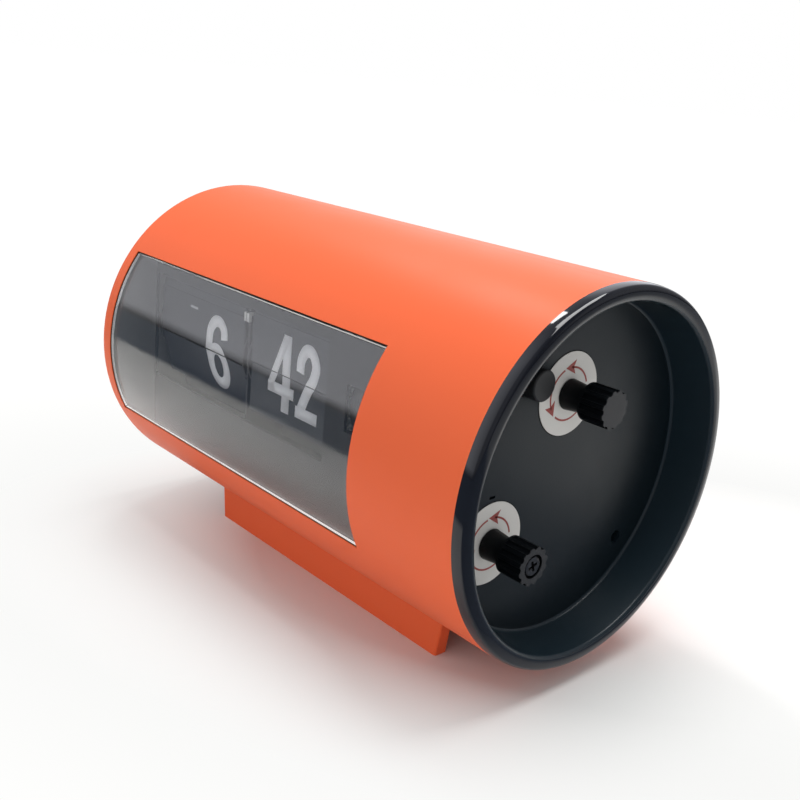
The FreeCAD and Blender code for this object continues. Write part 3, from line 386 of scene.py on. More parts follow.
# %% [markdown]
# The ring's rim catches the light in crisp lines, so its section matters: a side that tapers
# slightly, a tight crest, a land that slopes in towards the well, and a wide soft lip. The
# section is drawn as one closed line of short edges, each a step from the last, and spun once
# round the tube's axis. A turned section is how such a ring is toleranced and drawn. It
# starts at the sleeve that plugs into the tube and runs over the crest and the land, down
# the well and round a small bead at its foot, to the seat that holds the panel.

# %% End ring, spun from its section
def only(*pieces):
    bpy.ops.object.select_all(action="DESELECT")
    for piece in pieces:
        piece.select_set(True)
    bpy.context.view_layer.objects.active = pieces[0]


def single_vertex(place):
    bpy.ops.object.select_all(action="DESELECT")
    bpy.ops.mesh.primitive_plane_add(size=0.001, location=(0, 0, 0))
    bpy.ops.object.mode_set(mode="EDIT")
    bpy.ops.mesh.select_all(action="SELECT")
    bpy.ops.mesh.merge(type="COLLAPSE")
    bpy.ops.mesh.select_all(action="SELECT")
    bpy.ops.transform.translate(value=place)
    return bpy.context.object


def turned(name, section, steps):
    """Spin a closed section, given as (x, radius) in mm, once round the tube's axis."""
    piece = single_vertex(point(section[0][0], 0, section[0][1]))
    for start, finish in zip(section, section[1:] + section[:1]):
        step = Vector((finish[0] - start[0], 0, finish[1] - start[1])) * MM
        bpy.ops.mesh.extrude_vertices_move(TRANSFORM_OT_translate={"value": step})
    bpy.ops.mesh.select_all(action="SELECT")
    bpy.ops.mesh.remove_doubles(threshold=0.000002)
    bpy.ops.mesh.select_all(action="SELECT")
    bpy.ops.mesh.spin(steps=steps, angle=math.tau, center=(0, 0, AXIS), axis=(1, 0, 0))
    bpy.ops.mesh.select_all(action="SELECT")
    bpy.ops.mesh.remove_doubles(threshold=0.000002)
    bpy.ops.mesh.normals_make_consistent(inside=False)
    bpy.ops.object.mode_set(mode="OBJECT")
    piece.name = name
    only(piece)
    bpy.ops.object.shade_smooth_by_angle(angle=math.radians(28))
    return piece


def arc(centre, across, up, start, finish, steps):
    """Points of an ellipse with half axes across and up, from one angle to another."""
    turns = [math.radians(start + (finish - start) * i / steps) for i in range(steps + 1)]
    return [(centre[0] + across * math.cos(a), centre[1] + up * math.sin(a)) for a in turns]


SLEEVE_START, SLEEVE_BORE, SLEEVE_RADIUS = 63.0, 42.0, 46.7
TUBE_END, TUBE_RADIUS = 80.0, 50.0
CREST_CENTRE, CREST_ROUND = (82.2, 48.6), 1.2
LIP_CENTRE, LIP_ACROSS, LIP_UP = (82.5, 47.5), 1.1, 1.78
BEAD_CENTRE, BEAD_ROUND = (71.7, 44.0), 0.88
PANEL_SEAT, PANEL_BACK = 44.8, 68.3

rim_section = [(SLEEVE_START, SLEEVE_BORE), (SLEEVE_START, SLEEVE_RADIUS),
               (TUBE_END, SLEEVE_RADIUS), (TUBE_END, TUBE_RADIUS), (81.2, 49.98)]
rim_section += arc(CREST_CENTRE, CREST_ROUND, CREST_ROUND, 80, 16, 8)
rim_section += arc(LIP_CENTRE, LIP_ACROSS, LIP_UP, 0, -88, 10)
rim_section += [(78.6, 45.41), (71.7, 44.88)]
rim_section += arc(BEAD_CENTRE, -BEAD_ROUND, BEAD_ROUND, 84, 12, 5)
rim_section += [(70.82, 44.6), (PANEL_X, PANEL_SEAT), (PANEL_BACK, PANEL_SEAT),
                (PANEL_BACK, SLEEVE_BORE)]
rim = turned("end_ring", rim_section, 192)
rim.data.materials.append(rim_black)
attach(rim, "case")
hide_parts("end_bezel")
print("end ring:", len(rim.data.polygons), "faces")

# %% [markdown]
# The panel is a darker black than the well, with a coarser grain. The knobs are the deepest
# black and hardly shine, and the button is a little paler. The knobs' flat tips face the
# lamps, and a thin band of a paler colour goes over their last quarter of a millimetre as
# painted light. The labels are matt paper, slightly warm.

# %% Control panel, knobs and labels
TIP_PAINTED_LIGHT = (0.036, 0.037, 0.040, 1)
panel_black = plastic("panel_black", (0.004, 0.009, 0.013), 0.36, grain=1800, depth=0.10)
set_specular(panel_black, 0.36)
dress(panel_black, "control_panel")


def knob_with_painted_lit_tip():
    """Black fluted knob whose turned end face is painted paler, as painted light where it faces
    the lamps.
    """
    material = plastic("knob_dark", (0.002, 0.003, 0.004), 0.36, grain=3000, depth=0.08)
    set_specular(material, 0.16)
    tree = material.node_tree
    along = split_axes(tree, object_coordinates(tree))["X"]
    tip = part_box("alarm_knob")[1][0]
    # Painted light: the end face, which faces the lamps, gets a paler colour.
    lit_tip = remap(tree, along, tip - 0.25 * MM, tip - 0.10 * MM, 0.0, 1.0)
    paint_over(tree, tree.nodes["Principled BSDF"], lit_tip, TIP_PAINTED_LIGHT)
    return material


dress(knob_with_painted_lit_tip(), "alarm_knob", "time_knob")
dress(plastic("button_dark", (0.017, 0.017, 0.018), 0.34, grain=3000, depth=0.05),
      "alarm_button")
label_paper = plastic("label_paper", (0.68, 0.665, 0.64), 0.55, grain=1500, depth=0.04)
dress(label_paper, "alarm_label", "time_label")

# %% [markdown]
# The window is clear acrylic. A glass shader bends and reflects light well, but its shadow is
# black without caustics, and then the leaves behind it get no light. So rays that only ask
# whether a lamp is visible pass straight through a transparent shader.

# %% Window
def clear_acrylic():
    material, tree, shader = new_material("clear_window")
    shader.inputs["Base Color"].default_value = (0.985, 0.99, 0.995, 1)
    shader.inputs["Transmission Weight"].default_value = 1.0
    shader.inputs["Roughness"].default_value = 0.02
    shader.inputs["IOR"].default_value = 1.49
    passing = add_node(tree, "ShaderNodeBsdfTransparent", Color=(0.97, 0.975, 0.98, 1))
    path = tree.nodes.new("ShaderNodeLightPath")
    mixed = mix_shaders(tree, path.outputs["Is Shadow Ray"], shader.outputs[0],
                        passing.outputs[0])
    tree.links.new(mixed, tree.nodes["Material Output"].inputs["Surface"])
    return material


clear_window = clear_acrylic()

# %% [markdown]
# The pane is a slice of a tube, and the frame's solid leaves its edges sharp. A real pane is
# sawn, so its cut sides are frosted, and a small chamfer takes the sharpness off. The solid's
# faces are loose triangles, so a copy is merged first. A side face is one whose normal doesn't
# point away from the tube's axis; those faces get the frosted material before the chamfer is
# applied. That material also glows, which is painted light: its emission is strongest up to
# 1 mm above the pane's lowest edge and faint higher up, so the bottom edge shows a bright
# painted line.

# %% Window pane with sawn edges and a small chamfer
CHAMFER = 0.22
CLEAR, SAWN = 0, 1
FACES_OUT = 0.9


def merged_copy(node_name, new_name):
    only(nodes[node_name])
    bpy.ops.object.duplicate()
    piece = bpy.context.object
    piece.name = new_name
    bpy.ops.object.mode_set(mode="EDIT")
    bpy.ops.mesh.select_all(action="SELECT")
    bpy.ops.mesh.remove_doubles(threshold=0.000001)
    bpy.ops.object.mode_set(mode="OBJECT")
    return piece


def radial(spot):
    return Vector((0, spot.y, spot.z - AXIS)).normalized()


pane = merged_copy("window_lens", "window_pane")


def sawn_edge_with_painted_glow():
    """Frosted acrylic with a painted glow: strong up to 1 mm above the lowest edge, less above
    it.
    """
    material = plastic("frosted_edge_painted_glow", (0.90, 0.90, 0.89), 0.7)
    tree = material.node_tree
    shader = tree.nodes["Principled BSDF"]
    height = split_axes(tree, object_coordinates(tree))["Z"]
    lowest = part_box("window_lens")[0][2]
    # Painted light: emission strength 0.55 near the lowest edge, falling to 0.05 at 12 mm above
    # it.
    glow = remap(tree, height, lowest + 1 * MM, lowest + 12 * MM, 0.55, 0.05)
    tree.links.new(glow, shader.inputs["Emission Strength"])
    shader.inputs["Emission Color"].default_value = (1.0, 0.96, 0.91, 1)
    return material


frosted_edge_painted_glow = sawn_edge_with_painted_glow()
pane.data.materials.clear()
pane.data.materials.append(clear_window)
pane.data.materials.append(frosted_edge_painted_glow)
for face in pane.data.polygons:
    outward = abs(face.normal.dot(radial(face.center)))
    face.material_index = CLEAR if outward > FACES_OUT else SAWN
bevel = pane.modifiers.new("Chamfer", "BEVEL")
bevel.width = CHAMFER * MM
bevel.segments = 1
bevel.limit_method = "ANGLE"
bevel.angle_limit = math.radians(40)
bevel.material = CLEAR
only(pane)
bpy.ops.object.modifier_apply(modifier=bevel.name)
bpy.ops.object.shade_smooth_by_angle(angle=math.radians(25))
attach(pane, "case")
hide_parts("window_lens")
print("pane:", len(pane.data.polygons), "faces")

# %% [markdown]
# Inside the case. The leaves are thin black sheets, and the mask is matt so that it
# disappears behind them. Wheels and catches are white mouldings, drums and holders black
# ones. The outer plates are zinc-plated sheet and the middle one is black, so that it doesn't
# show between the numbers. Rods and shafts are turned steel, the rod nuts and the setting
# pinion brass.

# %% Movement
leaf_black = plastic("leaf_black", (0.016, 0.018, 0.024), 0.40, grain=900, depth=0.03)
dress(leaf_black, "hour_leaf_pack", "minute_leaf_pack", "hour_flip_leaf", "minute_flip_leaf")
dress(plastic("mask_black", (0.010, 0.010, 0.011), 0.62, grain=1500, depth=0.1),
      "display_mask")
white_plastic = plastic("white_plastic", (0.74, 0.74, 0.71), 0.45, grain=2400)
dress(white_plastic, "minute_gear", "hour_gear", "transfer_wheel", "drive_wheel",
      "time_idler", "alarm_gear", "hour_leaf_catch", "minute_leaf_catch")
part_black = plastic("part_black", (0.035, 0.035, 0.037), 0.5)
dress(part_black, "alarm_switch", "panel_posts", "battery_holder", "board_components",
      "buzzer", "hour_spool", "minute_spool")
dress(plastic("dial_black", (0.020, 0.020, 0.021), 0.45), "alarm_dial")
plate_metal = metal("plate_metal", (0.52, 0.52, 0.50), 0.42, (60.0, 900.0, 60.0))
dress(plate_metal, "left_plate", "right_plate", "motor")
dress(plastic("plate_black", (0.030, 0.030, 0.032), 0.5), "middle_plate")
turned_steel = metal("turned_steel", (0.62, 0.62, 0.63), 0.28, (2500.0, 40.0, 40.0))
dress(turned_steel, "arbor", "tie_rods", "alarm_shaft", "time_shaft", "idler_stud",
      "transfer_stud", "motor_pinion")
screw_dark = metal("screw_dark", (0.10, 0.10, 0.105), 0.42, (900.0, 900.0, 900.0))
dress(screw_dark, "panel_screws", "time_knob_screw")
dress(metal("spring_metal", (0.72, 0.72, 0.73), 0.2, (1500.0, 1500.0, 1500.0)),
      "clutch_washer", "positive_contact", "negative_contact", "button_spring")
dress(metal("brass", (0.78, 0.58, 0.24), 0.3, (2000.0, 60.0, 60.0)),
      "rod_nuts", "time_pinion")

# %% [markdown]
# The screw in the setting knob has a cross recess, punched when the head is formed. Two flat
# bars at right angles are cut out of a merged copy of the frame's plain screw.

# %% Cross recess in the knob's screw
def cut_away(piece, cutter):
    cut = piece.modifiers.new("Cut", "BOOLEAN")
    cut.operation = "DIFFERENCE"
    cut.solver = "EXACT"
    cut.object = cutter
    only(piece)
    bpy.ops.object.modifier_apply(modifier=cut.name)
    only(cutter)
    bpy.ops.object.delete()


SCREW_FACE_X = 84.8
BAR_DEPTH, BAR_WIDTH, BAR_LENGTH = 2.2, 0.75, 2.9
CROSS_TURN = 20

knob_screw = merged_copy("time_knob_screw", "knob_screw")
for width, tall in ((BAR_WIDTH, BAR_LENGTH), (BAR_LENGTH, BAR_WIDTH)):
    bpy.ops.object.select_all(action="DESELECT")
    bpy.ops.mesh.primitive_cube_add(size=1, location=point(SCREW_FACE_X, *TIME_KNOB))
    bar = bpy.context.object
    bar.scale = (BAR_DEPTH * MM, width * MM, tall * MM)
    bar.rotation_euler = (math.radians(CROSS_TURN), 0, 0)
    bpy.ops.object.transform_apply(location=True, rotation=True, scale=True)
    cut_away(knob_screw, bar)
only(knob_screw)
bpy.ops.object.shade_smooth_by_angle(angle=math.radians(30))
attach(knob_screw, "time_setting")
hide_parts("time_knob_screw")
print("knob screw:", len(knob_screw.data.polygons), "faces")

# %% [markdown]
# A cell has a printed metal foil round it, black for most of its length and copper coloured
# at the other end, so its jacket is one shiny material with a hard step along X. The board is
# green lacquer over copper tracks. It is deep inside the case, so a fine brick pattern is
# enough for the tracks.

# %% Cell jacket and circuit board
COPPER_FROM_X = -24.0
JACKET_BLACK = (0.05, 0.05, 0.055, 1)
JACKET_COPPER = (0.55, 0.42, 0.22, 1)


def cell_jacket():
    material, tree, shader = new_material("cell_jacket")
    along = split_axes(tree, object_coordinates(tree))["X"]
    band = remap(tree, along, COPPER_FROM_X * MM, (COPPER_FROM_X + 0.1) * MM, 0.0, 1.0)
    colour = blend_colours(tree, band, JACKET_BLACK, JACKET_COPPER)
    tree.links.new(colour, shader.inputs["Base Color"])
    shader.inputs["Metallic"].default_value = 0.8
    shader.inputs["Roughness"].default_value = 0.32
    return material


def board_green():
    material, tree, shader = new_material("board_green")
    tracks = add_node(tree, "ShaderNodeTexBrick", Vector=object_coordinates(tree),
                      Color1=(0.03, 0.16, 0.06, 1), Color2=(0.035, 0.19, 0.07, 1),
                      Mortar=(0.10, 0.30, 0.12, 1), Scale=220.0)
    tree.links.new(tracks.outputs["Color"], shader.inputs["Base Color"])
    shader.inputs["Roughness"].default_value = 0.35
    return material


dress(cell_jacket(), "battery")
dress(board_green(), "circuit_board")

# %% [markdown]
# Numerals. They are plain, heavy, narrow figures. Each is drawn as a pen would draw it, as a
# few strokes of constant width. A curve whose points are tilted by a quarter turn and then
# extruded is such a stroke: a flat ribbon that follows the line. Every stroke gets a
# paper-thin body and the strokes are united, so a figure is one clean outline. They are drawn
# a thousand times too large, because a boolean works best near the size of a metre. Each
# stroke below is its path, how its handles lie, whether it is closed, and the pen's width.

# %% Pen strokes, in mm from each figure's lower left corner
STROKES = {
    "2": [([(1.85, 14.4), (2.3, 18.7), (5.3, 21.5), (8.5, 18.8), (8.3, 14.8), (5.4, 9.6),
            (2.7, 3.2)], "AUTO", False, 3.6),
          ([(0.2, 1.9), (3.0, 1.9), (6.4, 1.9), (10.3, 1.9)], "VECTOR", False, 3.8)],
    "3": [([(1.8, 16.4), (2.6, 19.9), (5.6, 21.5), (8.9, 18.9), (8.2, 14.4), (4.4, 12.4)],
           "AUTO", False, 3.7),
          ([(4.4, 12.4), (9.0, 10.6), (9.9, 6.2), (6.2, 1.9), (2.8, 3.0), (1.7, 6.6)],
           "AUTO", False, 3.7)],
    "4": [([(8.8, 0.0), (8.8, 8.0), (8.8, 16.0), (8.8, 23.4)], "VECTOR", False, 3.7),
          ([(0.0, 6.6), (4.0, 6.6), (9.0, 6.6), (12.6, 6.6)], "VECTOR", False, 3.5),
          ([(1.1, 7.0), (3.3, 11.8), (5.7, 17.0), (8.1, 22.3)], "VECTOR", False, 2.7)],
    "6": [([(10.5, 16.4), (9.8, 19.9), (6.5, 21.5), (3.2, 19.2), (2.0, 13.6), (1.95, 7.2)],
           "AUTO", False, 3.6),
          ([(6.2, 1.85), (10.4, 7.3), (6.2, 12.7), (2.0, 7.3)], "AUTO", True, 3.6)],
    "7": [([(0.2, 21.6), (4.0, 21.6), (8.0, 21.6), (11.6, 21.6)], "VECTOR", False, 3.7),
          ([(9.9, 21.4), (7.2, 14.0), (5.4, 7.0), (4.6, 0.0)], "AUTO", False, 3.7)],
}
NUMERAL_SPLIT = 11.4

# %% [markdown]
# A figure's strokes get bodies of slightly different thickness, so that no two faces lie in
# one plane where they cross, and are united. The whole is then scaled to millimetres and
# pressed flat to the thickness of a coat of paint.

# %% Draw one figure
BODY, BODY_STEP = 0.3, 0.02
PAINT_PRESS = 0.00003


def solid_stroke(path, handles, closed, width, thickness):
    bpy.ops.object.select_all(action="DESELECT")
    bpy.ops.curve.primitive_bezier_curve_add(location=(0, 0, 0))
    shape = bpy.context.object.data
    shape.dimensions = "3D"
    shape.twist_mode = "Z_UP"
    shape.resolution_u = 12
    shape.extrude = width / 2
    spline = shape.splines[0]
    spline.bezier_points.add(len(path) - len(spline.bezier_points))
    for knot, (across, up) in zip(spline.bezier_points, path):
        knot.co = (across, up, 0)
        knot.tilt = math.radians(90)
        knot.handle_left_type = knot.handle_right_type = handles
    spline.use_cyclic_u = closed
    bpy.ops.object.convert(target="MESH")
    stroke = bpy.context.object
    stroke.scale.z = 0
    bpy.ops.object.transform_apply(location=True, rotation=True, scale=True)
    bpy.ops.object.mode_set(mode="EDIT")
    bpy.ops.mesh.select_all(action="SELECT")
    bpy.ops.mesh.remove_doubles(threshold=0.01)
    bpy.ops.mesh.normals_make_consistent(inside=False)
    bpy.ops.object.mode_set(mode="OBJECT")
    wall = stroke.modifiers.new("Body", "SOLIDIFY")
    wall.thickness = thickness
    wall.offset = 0
    only(stroke)
    bpy.ops.object.modifier_apply(modifier=wall.name)
    return stroke


def draw_numeral(digit):
    whole = None
    for index, (path, handles, closed, width) in enumerate(STROKES[digit]):
        stroke = solid_stroke(path, handles, closed, width, BODY + BODY_STEP * index)
        if whole is None:
            whole = stroke
            continue
        join = whole.modifiers.new("Join", "BOOLEAN")
        join.operation = "UNION"
        join.solver = "EXACT"
        join.use_self = True
        join.object = stroke
        only(whole)
        bpy.ops.object.modifier_apply(modifier=join.name)
        only(stroke)
        bpy.ops.object.delete()
    whole.name = "numeral_" + digit
    whole.scale = (MM, MM, PAINT_PRESS)
    only(whole)
    bpy.ops.object.transform_apply(location=True, rotation=True, scale=True)
    return whole


def keep_part(piece, place, normal):
    """Cut a mesh with a plane and keep the side that the normal points away from."""
    only(piece)
    bpy.ops.object.mode_set(mode="EDIT")
    bpy.ops.mesh.select_all(action="SELECT")
    bpy.ops.mesh.bisect(plane_co=place, plane_no=normal, use_fill=True, clear_outer=True)
    bpy.ops.object.mode_set(mode="OBJECT")


numeral_paint = plastic("numeral_paint", (0.95, 0.955, 0.965), 0.5, grain=1200, depth=0.02)


HALF_GAP = 0.2


def print_half(digit, name, x, upper, place, lean, tall, body):
    """Half a numeral on a leaf: place is the hinge line, lean tips it back."""
    half = draw_numeral(digit)
    edge = NUMERAL_SPLIT + (HALF_GAP if upper else -HALF_GAP)
    keep_part(half, (0, edge * MM, 0), (0, -1, 0) if upper else (0, 1, 0))
    half.name = name
    to_hinge = Matrix.Translation((x * MM, -NUMERAL_SPLIT * MM, 0))
    upright = Matrix.Rotation(math.radians(90), 4, "X")
    tip = Matrix.Rotation(math.radians(lean), 4, "X")
    stretch = Matrix.Diagonal((1, tall, 1, 1))
    half.matrix_world = Matrix.Translation(place) @ tip @ upright @ stretch @ to_hinge
    bpy.ops.object.transform_apply(location=True, rotation=True, scale=True)
    half.data.materials.clear()
    half.data.materials.append(numeral_paint)
    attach(half, body)


# %% [markdown]
# Six, forty-two. The front upper leaf of each drum carries the top halves, and the leaf below
# the hinge the bottom halves. The hour's lower leaf leans back on the leaves behind it. Both
# front leaves carry the bottom half of the next number on their backs, upside down, and the
# next leaf in the pack shows its top half, so the clock reads on when a leaf falls. A lower
# half is seen at a slant in its pack and is stretched or shortened to meet the upper one.

# %% Print the leaves
HOUR_X = -50.7
TENS_X = -16.6
UNITS_X = -3.1
PRINT = 0.012
HOUR_LOWER_FACE, HOUR_LOWER_LEAN = -30.128, 14
MINUTE_LOWER_FACE = -30.05
WAITING_FACE = -29.82
FLIP_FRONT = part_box("hour_flip_leaf")[0][1] / MM - PRINT
FLIP_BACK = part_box("hour_flip_leaf")[1][1] / MM + PRINT
print("flip leaf prints at", round(FLIP_FRONT, 3), round(FLIP_BACK, 3))

hour_front = point(0, FLIP_FRONT, HOUR_HINGE_Z)
hour_lower = point(0, HOUR_LOWER_FACE - PRINT, HOUR_HINGE_Z)
hour_back = point(0, FLIP_BACK, HOUR_HINGE_Z)
hour_waiting = point(0, WAITING_FACE - PRINT, HOUR_HINGE_Z)
minute_front = point(0, FLIP_FRONT, MINUTE_HINGE_Z)
minute_lower = point(0, MINUTE_LOWER_FACE - PRINT, MINUTE_HINGE_Z)
minute_back = point(0, FLIP_BACK, MINUTE_HINGE_Z)
minute_waiting = point(0, WAITING_FACE - PRINT, MINUTE_HINGE_Z)

# figure, piece, place along X, upper half, hinge line, lean, stretch, body
HALVES = (
    ("6", "six_top", HOUR_X, True, hour_front, 0, 1.0, "hour_leaf"),
    ("4", "four_top", TENS_X, True, minute_front, 0, 1.0, "minute_leaf"),
    ("2", "two_top", UNITS_X, True, minute_front, 0, 1.0, "minute_leaf"),
    ("4", "four_bottom", TENS_X, False, minute_lower, 0, 0.95, "case"),
    ("2", "two_bottom", UNITS_X, False, minute_lower, 0, 0.91, "case"),
    ("6", "six_bottom", HOUR_X, False, hour_lower, HOUR_LOWER_LEAN, 1.08, "case"),
    ("7", "next_seven_bottom", HOUR_X, False, hour_back, 180, 1.0, "hour_leaf"),
    ("4", "next_four_bottom", TENS_X, False, minute_back, 180, 1.0, "minute_leaf"),
    ("3", "next_three_bottom", UNITS_X, False, minute_back, 180, 1.0, "minute_leaf"),
    ("7", "next_seven_top", HOUR_X, True, hour_waiting, 0, 1.0, "case"),
    ("4", "next_four_top", TENS_X, True, minute_waiting, 0, 1.0, "case"),
    ("3", "next_three_top", UNITS_X, True, minute_waiting, 0, 1.0, "case"),
)
for half in HALVES:
    print_half(*half)
print("numeral halves:", len(HALVES))

# %% [markdown]
# A short grey bar at the upper left of the hour leaf marks the half of the day. It is printed
# like the numerals and as thin as they are, so it rides with the leaf.

# %% Half-day mark
MARK_X, MARK_Z = -58.0, 14.4
MARK_LENGTH, MARK_HEIGHT = 4.4, 0.8
bpy.ops.mesh.primitive_cube_add(size=1, location=point(MARK_X, FLIP_FRONT, MARK_Z))
mark = bpy.context.object
mark.name = "half_day_mark"
mark.scale = (MARK_LENGTH * MM, PRINT * MM, MARK_HEIGHT * MM)
bpy.ops.object.transform_apply(location=True, rotation=True, scale=True)
mark_paint = plastic("mark_paint", (0.40, 0.41, 0.43), 0.5, grain=1200, depth=0.02)
mark.data.materials.append(mark_paint)
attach(mark, "hour_leaf")
print("mark:", MARK_LENGTH, "x", MARK_HEIGHT, "mm")

# %% [markdown]
# Each label has a thin ring of three arrows that say which way the knob turns. An arrow's
# line is one short edge spun about the label's centre, and its head is a small kite. Round each
# label lies a fine black ring, just above the panel: painted shade for the narrow gap between
# the label and its recess.

# %% Arrow rings and painted shade round the labels
ARROW_INNER, ARROW_WIDTH = 6.55, 0.5
HEAD_RADIUS = 6.8
HEAD_KITE = ((2.2, 0.0), (-1.6, 1.9), (-0.8, 0.0), (-1.6, -1.9))
ARROW_SWEEPS = ((20, 92), (113, 209), (233, 333))
INK, INK_LIFT = 0.02, 0.015
GAP_WIDTH, GAP_BODY, GAP_LIFT = 0.28, 0.04, 0.03


def thicken(piece, thickness):
    wall = piece.modifiers.new("Body", "SOLIDIFY")
    wall.thickness = thickness
    wall.offset = 0
    only(piece)
    bpy.ops.object.modifier_apply(modifier=wall.name)


arrow_red = plastic("arrow_red", (0.34, 0.055, 0.045), 0.5, grain=1500, depth=0.02)


def ray_at(degrees):
    turn = math.radians(degrees)
    return Vector((0, math.cos(turn), math.sin(turn)))


def arrow_line(middle, start, finish):
    ray = ray_at(start)
    line = single_vertex(middle + ray * ARROW_INNER * MM)
    bpy.ops.mesh.extrude_region_move(
        TRANSFORM_OT_translate={"value": ray * ARROW_WIDTH * MM})
    bpy.ops.mesh.select_all(action="SELECT")
    bpy.ops.mesh.spin(steps=20, angle=-math.radians(finish - start), center=middle,
                      axis=(1, 0, 0))
    bpy.ops.object.mode_set(mode="OBJECT")
    return line


def arrow_head(middle, finish):
    bpy.ops.mesh.primitive_circle_add(vertices=4, radius=1.0, fill_type="NGON")
    head = bpy.context.object
    out, along = ray_at(finish), ray_at(finish + 90)
    for vertex, (forward, aside) in zip(head.data.vertices, HEAD_KITE):
        vertex.co = middle + out * (HEAD_RADIUS + aside) * MM + along * forward * MM
    return head


def arrow_ring(name, centre, turn):
    middle = point(LABEL_X + INK_LIFT, *centre)
    parts = []
    for start, finish in ARROW_SWEEPS:
        parts.append(arrow_line(middle, start + turn, finish + turn))
        parts.append(arrow_head(middle, finish + turn))
    only(*parts)
    bpy.ops.object.join()
    ring = bpy.context.object
    ring.name = name
    thicken(ring, INK * MM)
    ring.data.materials.append(arrow_red)
    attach(ring, "case")


def painted_label_gap_shade(name, centre, radius):
    edge = point(PANEL_X + GAP_LIFT, centre[0] + radius, centre[1])
    ring = single_vertex(edge)
    bpy.ops.mesh.extrude_region_move(TRANSFORM_OT_translate={"value": (0, GAP_WIDTH * MM, 0)})
    bpy.ops.mesh.select_all(action="SELECT")
    bpy.ops.mesh.spin(steps=72, angle=math.tau, center=point(PANEL_X, *centre), axis=(1, 0, 0))
    bpy.ops.mesh.select_all(action="SELECT")
    bpy.ops.mesh.remove_doubles(threshold=0.000002)
    bpy.ops.object.mode_set(mode="OBJECT")
    ring.name = name
    thicken(ring, GAP_BODY * MM)
    # Painted shade: a thin black ring lies where the shade of the gap round the label falls.
    ring.data.materials.append(gap_painted_shade)
    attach(ring, "case")


gap_painted_shade = plastic("gap_painted_shade", (0.001, 0.001, 0.001), 0.7)
label_radius = (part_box("alarm_label")[1][1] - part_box("alarm_label")[0][1]) / 2 / MM
print("label radius:", round(label_radius, 2), "mm")
painted_label_gap_shade("alarm_label_gap", ALARM_KNOB, label_radius)
painted_label_gap_shade("time_label_gap", TIME_KNOB, label_radius)
arrow_ring("alarm_arrows", ALARM_KNOB, 0)
arrow_ring("time_arrows", TIME_KNOB, -8)

# %% [markdown]
# The table is a large white sheet. Seen directly it is nearly white: a shader takes light and
# shadow in a long patch under the clock, and a faint glow takes over outside it, so that the
# sheet has no visible end. In reflections the sheet ends a hand's width in front of the clock
# and beside its control end, where the darker room begins. That edge gives the window its
# dark band, and without it the glass would look like flat grey paint.

# %% Table
bpy.ops.mesh.primitive_plane_add(size=60, location=(0, 0, 0))
table = bpy.context.object
table.name = "table"

PATCH_CENTRE = (0.066, 0.057, 0)
PATCH_TURN = 0.68
PATCH_STRETCH = 1.87
SHADOW_END, FADE_END, GLOW_END = 0.066, 0.116, 0.192


def seen_directly(tree, shader, where, is_camera_ray):
    """Lit and shaded near the clock, softly glowing away from it."""
    patch = add_node(tree, "ShaderNodeMapping", Vector=where, Location=PATCH_CENTRE,
                     Rotation=(0, 0, PATCH_TURN), Scale=(PATCH_STRETCH, 1, 1))
    patch.vector_type = "TEXTURE"
    far = length_of(tree, patch.outputs[0])
    fade = remap(tree, far, SHADOW_END, FADE_END, 0.0, 1.0)
    glow = remap(tree, far, SHADOW_END, GLOW_END, 0.90, 1.036)
    lift = add_node(tree, "ShaderNodeEmission", Color=(1, 1, 0.99, 1), Strength=glow)
    return mix_shaders(tree, maths(tree, "MULTIPLY", is_camera_ray, fade),
                       shader.outputs[0], lift.outputs[0])


def beyond_the_sheet(tree, where):
    """How much of the dark room a reflection meets: in front, beside and far to the right."""
    axes = split_axes(tree, where)
    in_front = remap(tree, axes["Y"], -0.158, -0.182, 0.0, 1.0)
    beside = maths(tree, "MULTIPLY", remap(tree, axes["X"], 0.08, 0.11, 0.0, 1.0),
                   remap(tree, axes["Y"], 0.07, 0.12, 1.0, 0.0))
    far_right = remap(tree, axes["X"], 0.19, 0.30, 0.0, 0.5)
    return maths(tree, "MAXIMUM", maths(tree, "MAXIMUM", in_front, beside), far_right)


def table_white():
    material, tree, shader = new_material("table_white")
    shader.inputs["Base Color"].default_value = (0.738, 0.74, 0.73, 1)
    shader.inputs["Roughness"].default_value = 0.8
    where = object_coordinates(tree)
    path = tree.nodes.new("ShaderNodeLightPath")
    sheet = seen_directly(tree, shader, where, path.outputs["Is Camera Ray"])
    mirrored = maths(tree, "MULTIPLY", path.outputs["Is Glossy Ray"],
                     beyond_the_sheet(tree, where))
    room = add_node(tree, "ShaderNodeEmission", Color=(0.66, 0.79, 1, 1), Strength=0.25)
    tree.links.new(mix_shaders(tree, mirrored, sheet, room.outputs[0]),
                   tree.nodes["Material Output"].inputs["Surface"])
    return material


table.data.materials.append(table_white())
print("materials:", len(bpy.data.materials))

# %% [markdown]
# The room. Directly seen it is plain white. For soft light it is a gentle dome that is
# brighter towards the front. Reflections see it dark at the horizon and bright above it, but
# weaker to the right, a little weaker at the far left, and weaker behind, apart from a
# lighter wall straight back. That draws a broad highlight along the top of the tube and
# uneven ones round the black rim, as a real room does. The strength of each direction is
# worked out from its X, Y and Z.

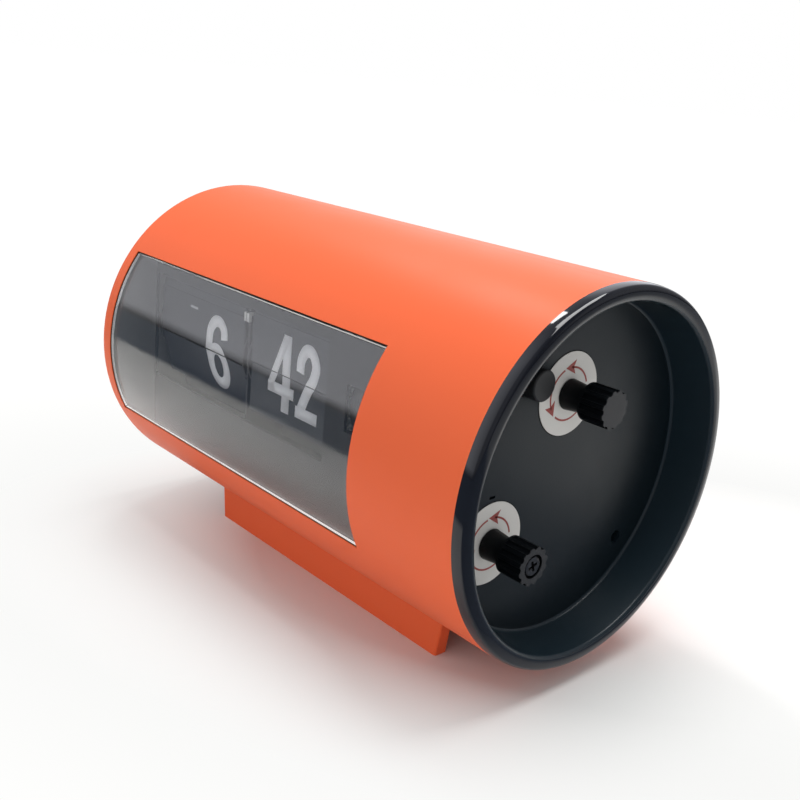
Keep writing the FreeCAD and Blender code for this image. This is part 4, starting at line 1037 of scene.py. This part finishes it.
# %% Room light
world = bpy.data.worlds.new("room")
bpy.context.scene.world = world
world.use_nodes = True
sky = world.node_tree
sky.nodes.clear()
toward = split_axes(sky, sky.nodes.new("ShaderNodeTexCoord").outputs["Generated"])
horizon = remap(sky, toward["Z"], 0.0, 0.075, 0.13, 1.5)
far_left = remap(sky, toward["X"], -0.88, -0.70, 0.72, 1.0)
rightward = remap(sky, toward["X"], -0.55, -0.05, 1.0, 0.25)
sideways = maths(sky, "ADD", remap(sky, toward["Y"], -0.35, 0.0, 1.0, 0.4),
                 remap(sky, toward["Y"], 0.45, 0.65, 0.0, 0.7))
reflected = maths(sky, "MULTIPLY", horizon, far_left)
reflected = maths(sky, "MULTIPLY", reflected, rightward)
reflected = maths(sky, "MULTIPLY", reflected, sideways)
frontal = remap(sky, toward["Y"], -1.0, 0.3, 1.0, 0.42)


def background(colour, strength):
    return add_node(sky, "ShaderNodeBackground", Color=colour, Strength=strength).outputs[0]


path = sky.nodes.new("ShaderNodeLightPath")
lighting = mix_shaders(sky, path.outputs["Is Glossy Ray"], background((1, 1, 1, 1), frontal),
                       background((0.93, 0.94, 1.0, 1), reflected))
room_surface = mix_shaders(sky, path.outputs["Is Camera Ray"], lighting,
                           background((1, 1, 1, 1), 1.0))
add_node(sky, "ShaderNodeOutputWorld", Surface=room_surface)

# %% [markdown]
# Two lamps. A large softbox hangs overhead and a little behind, so the top of the clock is
# bright and its shadow falls forward with a soft edge. A small lamp high at the left gives the
# rounded end its own gentle light. Both point at the middle of the clock.

# %% Softbox overhead and small lamp at the left
LAMP_TARGET = Vector((0, 0, 0.05))


def area_lamp(name, place, width, length, energy):
    bpy.ops.object.light_add(type="AREA", location=place)
    lamp = bpy.context.object
    lamp.name = name
    lamp.data.shape = "RECTANGLE"
    lamp.data.size = width
    lamp.data.size_y = length
    lamp.data.energy = energy
    lamp.rotation_euler = (LAMP_TARGET - lamp.location).to_track_quat("-Z", "Y").to_euler()
    print(name, "at", [round(v, 3) for v in lamp.location], energy, "W")


area_lamp("softbox", (0.05, 0.20, 0.9), 0.55, 0.55, 7.6)
area_lamp("left_lamp", (-0.46, 0.17, 0.79), 0.14, 0.22, 1.5)

# %% [markdown]
# The Standard view keeps colours as they are mixed, so that the orange stays full and the
# white stays white. A filmic view would pull both towards grey.

# %% Colour handling
bpy.context.scene.view_settings.view_transform = "Standard"
